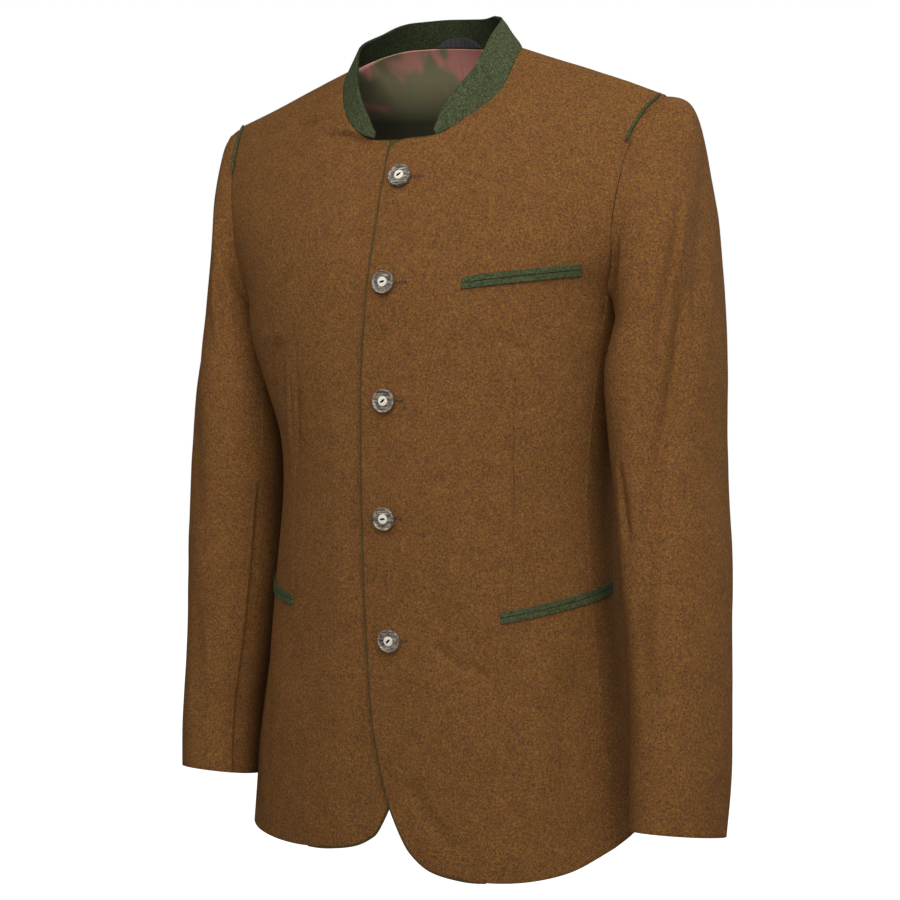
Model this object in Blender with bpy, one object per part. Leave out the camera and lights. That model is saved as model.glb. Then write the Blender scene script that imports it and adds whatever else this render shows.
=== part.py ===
"""Tyrolean loden jacket for men, in its worn hollow form.

Metres, +Z up. The wearer faces -Y and the wearer's left is +X. The origin lies midway
between the two neck ends of the shoulder seams and 2 mm above them, where the shoulders
carry the jacket.

The cloth lies on two guide forms. The torso form is a stack of level sections up to
the chest line, and above it a yoke that closes on the shoulder seams. The sleeve form
is a row of rings that leaves the armhole sideways and turns down the arm. Each cut
piece is a wall ruled between its own edges on its form.
"""

import math
from collections import namedtuple

import bmesh
import bpy
from mathutils import Vector

# ---------------------------------------------------------------- driving sizes (m)
CLOTH = 0.002                  # thickness of the loden
SEAM_GAP = 0.0003              # gap between pieces that meet
CHEST_LINE = -0.226            # height of the chest line, where the yoke begins
NECK_HALF = 0.0916             # half the neck's width at the shoulder seams
SHOULDER_HALF = 0.225          # half the shoulder width
SHOULDER_DROP = 0.046          # fall of a shoulder seam from neck to armhole
NECK_END_HEIGHT = -0.0022      # height of a shoulder seam's neck end
SHOULDER_BEHIND = 0.016        # depth of the shoulder seam's armhole end
FRONT_ROUNDING = 1.40          # how the chest rolls over to the shoulder seam
BACK_ROUNDING = 2.50           # the same for the back, which stays upright longer
NECK_TILT = 0.0035             # the left neck end of the shoulders sits this much higher
SHOULDER_BOW = 0.0020          # the left shoulder seam rises and the right one sags by this
NAPE_RISE = 0.045              # the yoke's closing line rises this much inside the neck
NAPE_POWER = {"left": 1.3, "right": 2.0}
LAP_SINK = 0.0031              # how far the right front lies under the left one
LAP_RAMP = (0.062, 0.031)      # distances from the centre where the sinking starts, ends
FRONT_SEAM_DEPTH = -0.015      # depth of the seam between front and side panel
BACK_SEAM_DEPTH = 0.078        # depth of the seam between side panel and back
UNDERARM_DROP = 0.020          # the side panel's top dips this far below the chest line

Section = namedtuple("Section", "height half_width front back widest front_power back_power")
TORSO = (
    Section(-0.790, 0.206, -0.093, 0.144, 0.022, 2.15, 2.25),
    Section(-0.680, 0.197, -0.096, 0.137, 0.022, 2.12, 2.40),
    Section(-0.585, 0.184, -0.099, 0.126, 0.022, 2.10, 2.90),
    Section(-0.500, 0.174, -0.101, 0.116, 0.022, 2.10, 3.20),
    Section(-0.415, 0.169, -0.103, 0.112, 0.022, 2.10, 2.70),
    Section(-0.310, 0.176, -0.105, 0.124, 0.022, 2.15, 2.35),
    Section(-0.226, 0.187, -0.104, 0.133, 0.022, 2.20, 2.40),
)

Yoke = namedtuple("Yoke", "share widening")
YOKE = (
    Yoke(0.00, 0.000),
    Yoke(0.20, 0.024),
    Yoke(0.40, 0.042),
    Yoke(0.60, 0.054),
    Yoke(0.80, 0.060),
    Yoke(1.00, 0.062),
)

# What the right half of the form's front has beyond the left one, by level
Wider = namedtuple("Wider", "level more")
RIGHT_HALF = (
    Wider(-0.760, 0.0045),
    Wider(-0.626, 0.0050),
    Wider(-0.540, 0.0020),
    Wider(-0.468, 0.0000),
    Wider(-0.400, -0.0050),
    Wider(-0.358, -0.0045),
    Wider(-0.307, 0.0095),
    Wider(-0.265, 0.0200),
    Wider(-0.226, 0.0180),
    Wider(-0.185, 0.0095),
    Wider(-0.110, 0.0060),
    Wider(-0.040, 0.0000),
    Wider(0.000, 0.0000),
)

Across = namedtuple("Across", "share left_front right_front back")
ARMHOLE = (
    Across(0.00, 0.1815, 0.1955, 0.1760),
    Across(0.15, 0.1900, 0.2010, 0.1850),
    Across(0.30, 0.1930, 0.2035, 0.1930),
    Across(0.45, 0.1965, 0.2075, 0.1985),
    Across(0.60, 0.2005, 0.2150, 0.2040),
    Across(0.75, 0.2058, 0.2212, 0.2100),
    Across(0.90, 0.2155, 0.2235, 0.2180),
    Across(0.95, 0.2208, 0.2243, 0.2215),
    Across(1.00, 0.2250, 0.2250, 0.2250),
)

Edge = namedtuple("Edge", "height across")
FRONT_EDGE = (
    Edge(-0.7275, 0.0140),
    Edge(-0.7184, 0.0092),
    Edge(-0.7045, 0.0020),
    Edge(-0.6580, -0.0098),
    Edge(-0.6200, -0.0155),
    Edge(-0.5440, -0.0207),
    Edge(-0.4500, -0.0231),
    Edge(-0.3000, -0.0225),
    Edge(-0.2200, -0.0168),
    Edge(-0.1500, -0.0126),
    Edge(-0.0865, -0.0125),
)

Neck = namedtuple("Neck", "across height")
FRONT_NECK = {
    "left": (
        Neck(-0.0125, -0.0865),
        Neck(0.0300, -0.0828),
        Neck(0.0448, -0.0762),
        Neck(0.0615, -0.0650),
        Neck(0.0777, -0.0520),
        Neck(0.0865, -0.0405),
        Neck(0.0908, -0.0250),
        Neck(NECK_HALF, NECK_END_HEIGHT + NECK_TILT),
    ),
    "right": (
        Neck(-0.0125, -0.0865),
        Neck(0.0330, -0.0815),
        Neck(0.0450, -0.0780),
        Neck(0.0615, -0.0665),
        Neck(0.0740, -0.0510),
        Neck(0.0848, -0.0290),
        Neck(NECK_HALF, NECK_END_HEIGHT - NECK_TILT),
    ),
}
Nape = namedtuple("Nape", "across depth")
BACK_NECK = (
    Nape(0.0000, 0.0640),
    Nape(0.0300, 0.0580),
    Nape(0.0550, 0.0430),
    Nape(0.0760, 0.0220),
    Nape(NECK_HALF, 0.0000),
)

Hem = namedtuple("Hem", "degrees left_height right_height")
HEM = (
    Hem(3.6, -0.7265, -0.7210),
    Hem(5.6, -0.7380, -0.7300),
    Hem(9.0, -0.7500, -0.7385),
    Hem(15.4, -0.7585, -0.7455),
    Hem(31.4, -0.7620, -0.7537),
    Hem(51.4, -0.7535, -0.7562),
    Hem(77.0, -0.7325, -0.7545),
    Hem(95.0, -0.7260, -0.7430),
    Hem(130.0, -0.7300, -0.7320),
    Hem(180.0, -0.7360, -0.7360),
)

# A sleeve ring runs from its outer to its inner point, seen from the front, and has a
# depth fore and aft. Its front leans inwards by turned and is raised by raised, in degrees;
# corner is how much fuller the left one is between its front and its inner point.
Ring = namedtuple(
    "Ring", "along outer_x outer_z inner_x inner_z middle half_depth turned raised corner"
)
SLEEVE = (
    Ring(0.000, 0.2256, -0.0485, 0.1880, -0.2460, 0.028, 0.0740, 0.0, 0.0, 0.0000),
    Ring(0.018, 0.2430, -0.0530, 0.1905, -0.2470, 0.029, 0.0745, 0.0, 0.0, 0.0030),
    Ring(0.045, 0.2540, -0.0780, 0.1925, -0.2485, 0.030, 0.0750, 0.0, 0.0, 0.0110),
    Ring(0.085, 0.2600, -0.1220, 0.1925, -0.2520, 0.030, 0.0750, 2.0, 0.0, 0.0140),
    Ring(0.135, 0.2670, -0.1720, 0.1910, -0.2600, 0.028, 0.0745, 4.0, 0.0, 0.0125),
    Ring(0.190, 0.2715, -0.2270, 0.1885, -0.2780, 0.025, 0.0735, 8.0, 0.0, 0.0110),
    Ring(0.255, 0.2748, -0.2900, 0.1850, -0.3080, 0.019, 0.0720, 11.0, 1.0, 0.0060),
    Ring(0.340, 0.2778, -0.3750, 0.1830, -0.3780, 0.011, 0.0700, 13.0, 3.0, -0.0040),
    Ring(0.430, 0.2875, -0.4650, 0.1900, -0.4650, 0.002, 0.0660, 13.0, 6.0, -0.0085),
    Ring(0.530, 0.2945, -0.5650, 0.2040, -0.5650, -0.011, 0.0610, 11.0, 10.0, -0.0050),
    Ring(0.610, 0.2970, -0.6450, 0.2160, -0.6450, -0.021, 0.0580, 10.0, 13.0, 0.0000),
    Ring(0.690, 0.2945, -0.7225, 0.2165, -0.7290, -0.031, 0.0570, 10.0, 14.0, -0.0010),
)
SLEEVE_LENGTH = 0.674
RING_POWER = 2.1                # roundness of a sleeve ring; 2 is an ellipse
HEAD_BLEND = 0.110             # length over which the head leaves the armhole's shape
Seam = namedtuple("Seam", "along degrees")
FOREARM_SEAM = (               # degrees round the ring, from outer through front
    Seam(0.000, 158.0),
    Seam(0.100, 154.0),
    Seam(0.250, 146.0),
    Seam(0.400, 137.0),
    Seam(0.674, 132.0),
)
HINDARM_SEAM = 258.0
# How the right sleeve differs from the table: slimmer on its outer side, narrower where
# it lies beside the body, and swung
Pose = namedtuple("Pose", "along slimmer narrower inwards aft up")
RIGHT_POSE = (
    Pose(0.000, 0.000, 0.000, 0.000, 0.000, 0.000),
    Pose(0.050, 0.009, 0.002, 0.000, 0.001, 0.000),
    Pose(0.110, 0.0185, 0.005, 0.000, 0.002, 0.000),
    Pose(0.160, 0.016, 0.008, 0.000, 0.002, 0.000),
    Pose(0.220, 0.009, 0.008, 0.000, 0.001, 0.000),
    Pose(0.280, 0.0035, 0.006, 0.000, 0.000, 0.000),
    Pose(0.340, 0.002, 0.002, 0.002, 0.001, 0.000),
    Pose(0.400, 0.006, 0.000, 0.004, 0.002, 0.000),
    Pose(0.560, 0.005, 0.001, 0.018, 0.010, 0.000),
    Pose(0.674, 0.001, 0.006, 0.021, 0.015, 0.000),
)

# Soft folds: a trough runs straight between two places, given by angle from centre front
# and height on the torso, and by length and ring angle on the sleeves.
Fold = namedtuple("Fold", "start_degrees start_z end_degrees end_z width depth")
FRONT_FOLDS = (
    Fold(14.0, -0.515, 38.0, -0.600, 0.024, 0.0035),
    Fold(66.0, -0.560, 62.0, -0.745, 0.022, 0.0045),
    Fold(-16.0, -0.520, -38.0, -0.600, 0.026, 0.0025),
    Fold(-68.0, -0.570, -64.0, -0.745, 0.024, 0.0035),
)
FOLD_RADIUS = 0.145            # turns a fold's angle into a length on the cloth
Trough = namedtuple("Trough", "start_along start_degrees end_along end_degrees width depth")
SLEEVE_FOLDS = {
    "left": (
        Trough(0.110, 12.0, 0.440, 76.0, 0.013, 0.0065),
        Trough(0.150, 48.0, 0.340, 72.0, 0.011, 0.0035),
        Trough(0.440, 84.0, 0.560, 92.0, 0.014, 0.0035),
    ),
    "right": (
        Trough(0.160, 20.0, 0.400, 62.0, 0.016, 0.0035),
        Trough(0.500, 62.0, 0.640, 84.0, 0.015, 0.0035),
    ),
}

# Collar: height and inward lean round the neck, by share from centre back to front end
Stand = namedtuple("Stand", "share left_height right_height lean square")
COLLAR = (
    Stand(0.00, 0.0262, 0.0262, 12.0, 0.0),
    Stand(0.14, 0.0275, 0.0252, 18.0, 0.0),
    Stand(0.28, 0.0310, 0.0265, 28.0, 0.0),
    Stand(0.42, 0.0348, 0.0282, 35.0, 0.0),
    Stand(0.52, 0.0315, 0.0285, 32.0, 0.5),
    Stand(0.62, 0.0308, 0.0282, 26.0, 1.0),
    Stand(0.74, 0.0318, 0.0260, 16.0, 1.0),
    Stand(0.86, 0.0275, 0.0215, 10.0, 1.0),
    Stand(0.95, 0.0168, 0.0142, 10.0, 1.0),
    Stand(1.00, 0.0060, 0.0050, 10.0, 1.0),
)
COLLAR_CLOTH = 0.0026
COLLAR_END = 0.033             # the collar ends this far from the centre line
COLLAR_END_STEPS = (0.5, 0.6)  # extra columns that round the collar's end
NECK_MIDDLE = -0.005           # depth of the neck's middle, which the collar leans towards

PIPING = 0.0022                # thickness of the front edge piping
HEM_PIPING_COLUMNS = 7         # columns of the front that the hem piping runs along
HEAD_PIPING = 0.0030           # thickness of the piping on the sleeve head
HEAD_PIPING_LIFT = 0.0008
HEAD_PIPING_SHARE = 0.70       # it starts this far up the front armhole

Welt = namedtuple("Welt", "name start_x start_z end_x end_z bow")
WELTS = (
    Welt("breast_welt", 0.0745, -0.2190, 0.1690, -0.2070, 0.0000),
    Welt("hip_welt_left", 0.1045, -0.5190, 0.1760, -0.4990, -0.0015),
    Welt("hip_welt_right", -0.1145, -0.5175, -0.1760, -0.4990, 0.0030),
)
WELT_HEIGHT = 0.0050
WELT_CLOTH = 0.0014
WELT_SLIT = 0.0006
WELT_LIFT = 0.0006             # clears the panels' flat facets

Fastening = namedtuple("Fastening", "name across height")
BUTTONS = (
    Fastening("button_1", 0.0054, -0.1222),
    Fastening("button_2", 0.0008, -0.2178),
    Fastening("button_3", 0.0021, -0.3240),
    Fastening("button_4", 0.0006, -0.4310),
    Fastening("button_5", 0.0040, -0.5433),
)
BUTTON_SEGMENTS = 18
Turned = namedtuple("Turned", "radius height")
BUTTON_PROFILE = (             # from the centre of the face to the centre of the shank
    Turned(0.0000, 0.0056),
    Turned(0.0040, 0.0056),
    Turned(0.0048, 0.0047),
    Turned(0.0080, 0.0048),
    Turned(0.0098, 0.0056),
    Turned(0.0107, 0.0047),
    Turned(0.0107, 0.0030),
    Turned(0.0098, 0.0021),
    Turned(0.0030, 0.0018),
    Turned(0.0026, 0.0000),
    Turned(0.0000, 0.0000),
)

LOOP_CLOTH = 0.001
LINING_CLOTH = 0.001
LINING_ROWS = 12               # rows of the back that its lining covers, from the neck down
LINING_INSET = 2               # columns at each side that it leaves bare
Looped = namedtuple("Looped", "row_share half_width")
LOOP_ROWS = (Looped(0.06, 0.0240), Looped(0.27, 0.0165), Looped(0.37, 0.0060))

COLOURS = {
    "loden": ((0.195, 0.088, 0.035), 0.95),
    "green_loden": ((0.055, 0.092, 0.045), 0.92),
    "piping": ((0.030, 0.048, 0.026), 0.85),
    "lining": ((0.380, 0.150, 0.130), 0.55),
    "loop": ((0.045, 0.045, 0.050), 0.70),
    "horn": ((0.330, 0.290, 0.240), 0.40),
}


COLLECTION = "tyrolean_loden_jacket"
FACING = {"left": 1.0, "right": -1.0}

# ---------------------------------------------------------------- grid counts
LOWER_ROWS, CHEST_ROWS, LAP_ROWS, NECK_ROWS = 16, 4, 2, 7
YOKE_ROWS = CHEST_ROWS + LAP_ROWS + NECK_ROWS
YOKE_SPREAD = 1.6              # above 1 crowds the yoke's rows towards the shoulder
FRONT_COLUMNS, SIDE_COLUMNS = 14, 4
FRONT_SPREAD = 1.3             # above 1 crowds a front's columns towards its edge
SHOULDER_COLUMNS, NECK_COLUMNS = 5, 6
UPPER_COLUMNS, UNDER_COLUMNS, SLEEVE_ROWS = 20, 7, 21
COLLAR_ROWS = 3
WELT_COLUMNS, WELT_ROWS = 12, 2
TUBE_SIDES = 6
SEAM_TURN = SEAM_GAP * 0.55 / 0.17     # half the seam gap as an angle on the torso


# ---------------------------------------------------------------- reading the tables
def follow(rows, place):
    """Read a table smoothly between its rows, by its first column."""
    kind = type(rows[0])
    if place <= rows[0][0]:
        return rows[0]
    if place >= rows[-1][0]:
        return rows[-1]
    after = next(i for i, row in enumerate(rows) if row[0] > place)
    before = after - 1
    span = rows[after][0] - rows[before][0]
    share = (place - rows[before][0]) / span

    def slope(index, column):
        low, high = max(index - 1, 0), min(index + 1, len(rows) - 1)
        return (rows[high][column] - rows[low][column]) / (rows[high][0] - rows[low][0])

    values = [place]
    for column in range(1, len(rows[0])):
        first, last = rows[before][column], rows[after][column]
        rise = (
            (2 * share**3 - 3 * share**2 + 1) * first
            + (share**3 - 2 * share**2 + share) * span * slope(before, column)
            + (3 * share**2 - 2 * share**3) * last
            + (share**3 - share**2) * span * slope(after, column)
        )
        values.append(rise)
    return kind(*values)


def ease(share):
    """0 to 1 with level ends."""
    share = min(max(share, 0.0), 1.0)
    return share * share * (3.0 - 2.0 * share)


def mix(first, last, share):
    return first + (last - first) * share


def spread(count):
    """Even shares from 0 to 1."""
    return [index / count for index in range(count + 1)]


# ---------------------------------------------------------------- torso form
def shoulder_height(across, behind):
    """Height of the line the yoke closes on: the shoulder seams, and what is between them."""
    side = "left" if across >= 0.0 else "right"
    out = (abs(across) - NECK_HALF) / (SHOULDER_HALF - NECK_HALF)
    if out >= 0.0:
        tilt = NECK_TILT * max(0.0, 1.0 - out) ** 2
        bow = SHOULDER_BOW * math.sin(math.pi * min(out, 1.0))
        return NECK_END_HEIGHT - SHOULDER_DROP * out + (tilt + bow) * FACING[side]
    share = abs(across) / NECK_HALF
    tilt = NECK_TILT * FACING[side] * share**3
    nape = NAPE_RISE * (1.0 - share ** NAPE_POWER[side]) if behind else 0.0
    return NECK_END_HEIGHT + tilt + nape


def shoulder_depth(across):
    out = (abs(across) - NECK_HALF) / (SHOULDER_HALF - NECK_HALF)
    return SHOULDER_BEHIND * out


def half_width(level):
    """Half the form's width; level is the height up to the chest line, and from there
    runs on to 0 at the shoulder seam."""
    half = follow(TORSO, min(level, CHEST_LINE)).half_width
    if level > CHEST_LINE:
        half += follow(YOKE, 1.0 - level / CHEST_LINE).widening
    return half


def fuller_right(turn, level):
    """What the right half of the form's front has beyond the left half."""
    if turn >= 0.0 or math.cos(turn) <= 0.0:
        return 0.0
    return follow(RIGHT_HALF, level).more * ease(min(1.0, math.cos(turn) / 0.35))


def torso_base(turn, level):
    """Point of the torso form at an angle from centre front (left is positive)."""
    row = follow(TORSO, min(level, CHEST_LINE))
    side = math.sin(turn)
    across = (half_width(level) + fuller_right(turn, level)) * side
    if math.cos(turn) >= 0.0:
        reach, power, rounding = row.front - row.widest, row.front_power, FRONT_ROUNDING
    else:
        reach, power, rounding = row.back - row.widest, row.back_power, BACK_ROUNDING
    bow = max(0.0, 1.0 - abs(side) ** power) ** (1.0 / power)
    depth = row.widest + reach * bow
    if level <= CHEST_LINE:
        return Vector((across, depth, level))
    share = min(1.0 - level / CHEST_LINE, 1.0)
    ridge = shoulder_depth(across)
    roll = max(0.0, 1.0 - share**rounding) ** (1.0 / rounding)
    roll = max(roll, SEAM_GAP * 0.55 / abs(depth - ridge))
    depth = mix(ridge, depth, roll)
    height = mix(CHEST_LINE, shoulder_height(across, math.cos(turn) < 0.0), share)
    return Vector((across, depth, height))


def torso_out(turn, level):
    """Direction out of the torso form; on the shoulder ridge it points up."""
    step = 0.004
    tame = min(level, CHEST_LINE * 0.06)
    round_it = torso_base(turn + step, tame) - torso_base(turn - step, tame)
    up_it = torso_base(turn, tame + 0.002) - torso_base(turn, tame - 0.002)
    out = round_it.cross(up_it).normalized()
    ridge = Vector((0.36 * max(-1.0, min(1.0, torso_base(turn, level).x / NECK_HALF)), 0.0, 0.93))
    near_ridge = ease(1.0 - level / (CHEST_LINE * 0.30))
    beside_neck = ease((abs(ridge.x) - 0.22) / 0.14)
    return out.lerp(ridge, near_ridge * beside_neck).normalized()


def fold_depth(turn, level):
    """How far the front's soft folds sink at a place."""
    sink = 0.0
    for fold in FRONT_FOLDS:
        start = math.radians(fold.start_degrees) * FOLD_RADIUS
        run = math.radians(fold.end_degrees) * FOLD_RADIUS - start
        rise = fold.end_z - fold.start_z
        length = math.hypot(run, rise)
        to_run, to_rise = turn * FOLD_RADIUS - start, level - fold.start_z
        share = (to_run * run + to_rise * rise) / length**2
        aside = (to_run * rise - to_rise * run) / length
        ends = ease(share * 3.0 + 0.6) * ease((1.0 - share) * 3.0 + 0.6)
        sink += fold.depth * ends * math.exp(-((aside / fold.width) ** 2))
    return sink


def torso_skin(turn, level, lift=0.0):
    """Point of the cloth's outer face, moved out by lift."""
    point = torso_base(turn, level)
    return point + torso_out(turn, level) * (lift - fold_depth(turn, level))


def turn_at(across, level, behind=False):
    """Angle on the form at a distance from the centre."""
    half = half_width(level)
    turn = math.asin(max(-1.0, min(1.0, across / half)))
    if behind:
        return math.copysign(math.pi, across if across else 1.0) - turn
    for _ in range(12):
        turn = math.asin(max(-1.0, min(1.0, across / (half + fuller_right(turn, level)))))
    return turn


def level_of(across, height, behind):
    """Level on the form of a point seen from the front or the back."""
    if height <= CHEST_LINE:
        return height
    share = (height - CHEST_LINE) / (shoulder_height(across, behind) - CHEST_LINE)
    return CHEST_LINE * (1.0 - min(share, 1.0))


def seen(across, height, behind=False):
    """Angle and level of a point given as it is seen from the front or the back."""
    level = level_of(across, height, behind)
    return turn_at(across, level, behind), level


def nape(across, depth):
    """Angle and level of a back neck point given as it is seen from above."""
    low, high = CHEST_LINE, 0.0
    for _ in range(40):
        level = (low + high) / 2.0
        if torso_base(turn_at(across, level, True), level).y > depth:
            low = level
        else:
            high = level
    return turn_at(across, level, True), level


def back_neck_line():
    """Places along the left half of the back neck, from centre back to the shoulder."""
    line = [nape(across, depth) for across, depth in along_table(BACK_NECK, NECK_COLUMNS, True)]
    return line[:-1] + [(turn_at(NECK_HALF, 0.0, True), 0.0)]


def seam_turn(level, depth):
    """Angle of the side where the form reaches a depth."""
    row = follow(TORSO, level)
    if depth < row.widest:
        bow = (depth - row.widest) / (row.front - row.widest)
        return math.asin((1.0 - bow**row.front_power) ** (1.0 / row.front_power))
    bow = (depth - row.widest) / (row.back - row.widest)
    return math.pi - math.asin((1.0 - bow**row.back_power) ** (1.0 / row.back_power))


# ---------------------------------------------------------------- edges of the torso pieces
def hem_level(side, turn):
    row = follow(HEM, abs(math.degrees(turn)))
    return row.left_height if side == "left" else row.right_height


def seam_edge(side, depth):
    """Side seam from hem to chest line, as angles away from centre front and levels."""
    bottom = CHEST_LINE
    for _ in range(6):
        bottom = hem_level(side, seam_turn(bottom, depth))
    levels = [mix(bottom, CHEST_LINE, share) for share in spread(LOWER_ROWS)]
    return [(seam_turn(level, depth), level) for level in levels]


def armhole_across(face, side, share):
    row = follow(ARMHOLE, share)
    if face == "back":
        return row.back
    return row.left_front if side == "left" else row.right_front


def armhole_edge(face, side, rows):
    """Armhole from chest line to shoulder, as angles away from the centre and levels."""
    edge = []
    for even in spread(rows)[1:]:
        share = 1.0 - (1.0 - even) ** YOKE_SPREAD
        level = CHEST_LINE * (1.0 - share)
        across = armhole_across(face, side, share) * FACING[side]
        edge.append((turn_at(across, level, face == "back") * FACING[side], level))
    return edge


def along_table(rows, count, across_first):
    """Even steps along a table's line, as points seen from the front."""
    first, last = rows[0][0], rows[-1][0]
    fine = [follow(rows, mix(first, last, share)) for share in spread(200)]
    points = [(row[0], row[1]) if across_first else (row[1], row[0]) for row in fine]
    reach = [0.0]
    for here, there in zip(points, points[1:]):
        reach.append(reach[-1] + math.dist(here, there))
    chosen = []
    for share in spread(count):
        index = min(range(len(reach)), key=lambda i: abs(reach[i] - reach[-1] * share))
        chosen.append(points[index])
    return chosen


def front_neck_line(side):
    """Points of the front neck seam from the collar's end to the shoulder."""
    table = FRONT_NECK[side]
    rows = [Neck(COLLAR_END, follow(table, COLLAR_END).height)]
    rows += [row for row in table if row.across > COLLAR_END]
    return along_table(tuple(rows), NECK_ROWS, True)


def front_inner_edge(side):
    """A front's inner edge, from the hem corner up and round the neck, as angles away
    from centre front and levels."""
    facing = FACING[side]
    corner, top = FRONT_EDGE[0].height, FRONT_EDGE[-1].height
    points = []
    for share in spread(LOWER_ROWS):
        height = mix(corner, CHEST_LINE, share)
        points.append((follow(FRONT_EDGE, height).across, height))
    for share in spread(CHEST_ROWS)[1:]:
        height = mix(CHEST_LINE, top, share)
        points.append((follow(FRONT_EDGE, height).across, height))
    for share in spread(LAP_ROWS)[1:]:
        across = mix(FRONT_NECK[side][0].across, COLLAR_END, share)
        points.append((across, follow(FRONT_NECK[side], across).height))
    points += front_neck_line(side)[1:]
    places = [seen(across * facing, height) for across, height in points]
    return [(turn * facing, level) for turn, level in places]


def ruled(inner, outer, side):
    """Angles and levels over a front, row by row between its two edges."""
    rows = []
    for index, (start, end) in enumerate(zip(inner, outer)):
        row = []
        for share in [even**FRONT_SPREAD for even in spread(FRONT_COLUMNS)]:
            turn = mix(start[0], end[0], share)
            level = mix(start[1], end[1], share)
            if index < LOWER_ROWS:
                flat = mix(inner[0][1], outer[0][1], share)
                hem_turn = mix(inner[0][0], outer[0][0], share)
                fade = (1.0 - index / LOWER_ROWS) ** 3
                level += (hem_level(side, hem_turn) - flat) * fade
            row.append((turn, level))
        rows.append(row)
    return rows


# ---------------------------------------------------------------- sleeve form
def armhole_loop(side):
    """Closed line of an armhole on the torso form, as points of the left half."""
    front = [seam for seam in reversed(armhole_edge("front", side, 40))]
    back = armhole_edge("back", side, 40)
    first, last = seam_turn(CHEST_LINE, FRONT_SEAM_DEPTH), seam_turn(CHEST_LINE, BACK_SEAM_DEPTH)
    under = [(mix(first, last, share), underarm_level(share)) for share in spread(30)]
    facing = FACING[side]
    points = [torso_base(turn * facing, level) for turn, level in front + under + back]
    return [Vector((point.x * facing, point.y, point.z)) for point in points]


def underarm_level(share):
    """Level of the side panel's top from its front to its back seam."""
    return CHEST_LINE - UNDERARM_DROP * math.sin(math.pi * share) ** 0.8


def ring_frame(along):
    row = follow(SLEEVE, along)
    outer = Vector((row.outer_x, row.middle, row.outer_z))
    inner = Vector((row.inner_x, row.middle, row.inner_z))
    middle = (outer + inner) / 2.0
    across = (outer - inner) / 2.0
    wide = across.normalized()
    ahead = Vector((0.0, -1.0, 0.0))
    turned, raised = math.radians(row.turned), math.radians(row.raised)
    side = (wide * math.cos(turned) + ahead * math.sin(turned)) * across.length
    front = (ahead * math.cos(turned) - wide * math.sin(turned)) * row.half_depth
    front.z += row.half_depth * math.tan(raised)
    return middle, side, front


def ring_point(degrees, along):
    middle, side, front = ring_frame(along)
    cos, sin = math.cos(math.radians(degrees)), math.sin(math.radians(degrees))
    reach = (abs(cos) ** RING_POWER + abs(sin) ** RING_POWER) ** (-1.0 / RING_POWER)
    return middle + (side * cos + front * sin) * reach


def armhole_table(side):
    """Armhole points by their angle round the first ring."""
    middle, wide, front = ring_frame(0.0)
    table = []
    for point in armhole_loop(side):
        offset = point - middle
        cos = offset.dot(wide) / wide.length_squared
        sin = offset.dot(front) / front.length_squared
        table.append((math.degrees(math.atan2(sin, cos)) % 360.0, point))
    table.sort(key=lambda entry: entry[0])
    first, last = table[0], table[-1]
    return [(last[0] - 360.0, last[1])] + table + [(first[0] + 360.0, first[1])]


ARMHOLE_POINTS = {side: armhole_table(side) for side in FACING}


def armhole_point(side, degrees):
    degrees %= 360.0
    table = ARMHOLE_POINTS[side]
    after = next(i for i, entry in enumerate(table) if entry[0] >= degrees)
    low, high = table[after - 1], table[after]
    share = (degrees - low[0]) / max(high[0] - low[0], 1e-9)
    return low[1].lerp(high[1], share) + Vector((SEAM_GAP * 1.5, 0.0, 0.0))


def sleeve_base(side, degrees, along):
    """Point of a sleeve's form, lying as the left one; 0 degrees is outer, 90 front,
    180 inner."""
    point = ring_point(degrees, along)
    if side == "left":
        middle, _, _ = ring_frame(along)
        near = max(0.0, math.cos(math.radians(degrees - 135.0))) ** 4
        point += (point - middle).normalized() * follow(SLEEVE, along).corner * near
    if along < HEAD_BLEND:
        stray = armhole_point(side, degrees) - ring_point(degrees, 0.0)
        point += stray * (1.0 - ease(along / HEAD_BLEND))
    return point


def sleeve_out(side, degrees, along):
    low, high = max(along - 0.003, 0.0), min(along + 0.003, SLEEVE_LENGTH)
    round_it = sleeve_base(side, degrees + 3.0, along) - sleeve_base(side, degrees - 3.0, along)
    down_it = sleeve_base(side, degrees, high) - sleeve_base(side, degrees, low)
    return round_it.cross(down_it).normalized()


def trough_depth(side, degrees, along):
    sink = 0.0
    for fold in SLEEVE_FOLDS[side]:
        share = (along - fold.start_along) / (fold.end_along - fold.start_along)
        middle = mix(fold.start_degrees, fold.end_degrees, share)
        aside = ((degrees - middle + 180.0) % 360.0 - 180.0) * 0.0011
        ends = ease(share * 3.0 + 0.6) * ease((1.0 - share) * 3.0 + 0.6)
        sink += fold.depth * ends * math.exp(-((aside / fold.width) ** 2))
    return sink


def sleeve_skin(side, degrees, along, lift=0.0):
    """Point of a sleeve's outer face, moved out by lift."""
    out = sleeve_out(side, degrees, along)
    point = sleeve_base(side, degrees, along)
    point += out * (lift - trough_depth(side, degrees, along))
    if side == "right":
        pose = follow(RIGHT_POSE, along)
        outer_share = (1.0 + math.cos(math.radians(degrees))) / 2.0
        body_share = max(0.0, -math.cos(math.radians(degrees - 25.0))) ** 3
        swing = pose.narrower * body_share - pose.slimmer * outer_share - pose.inwards
        point += Vector((swing, pose.aft, pose.up))
        point.x = -point.x
    return point


# ---------------------------------------------------------------- making solids
def finish(colour):
    material = bpy.data.materials.get(colour)
    if material is None:
        rgb, roughness = COLOURS[colour]
        material = bpy.data.materials.new(colour)
        material.use_nodes = True
        shader = material.node_tree.nodes["Principled BSDF"]
        shader.inputs["Base Color"].default_value = (*rgb, 1.0)
        shader.inputs["Roughness"].default_value = roughness
        shader.inputs["Metallic"].default_value = 0.0
        material.diffuse_color = (*rgb, 1.0)
    return material


def add_piece(name, mesh_data, colour):
    mesh_data.materials.append(finish(colour))
    piece = bpy.data.objects.new(name, mesh_data)
    bpy.data.collections[COLLECTION].objects.link(piece)
    return piece


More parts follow.
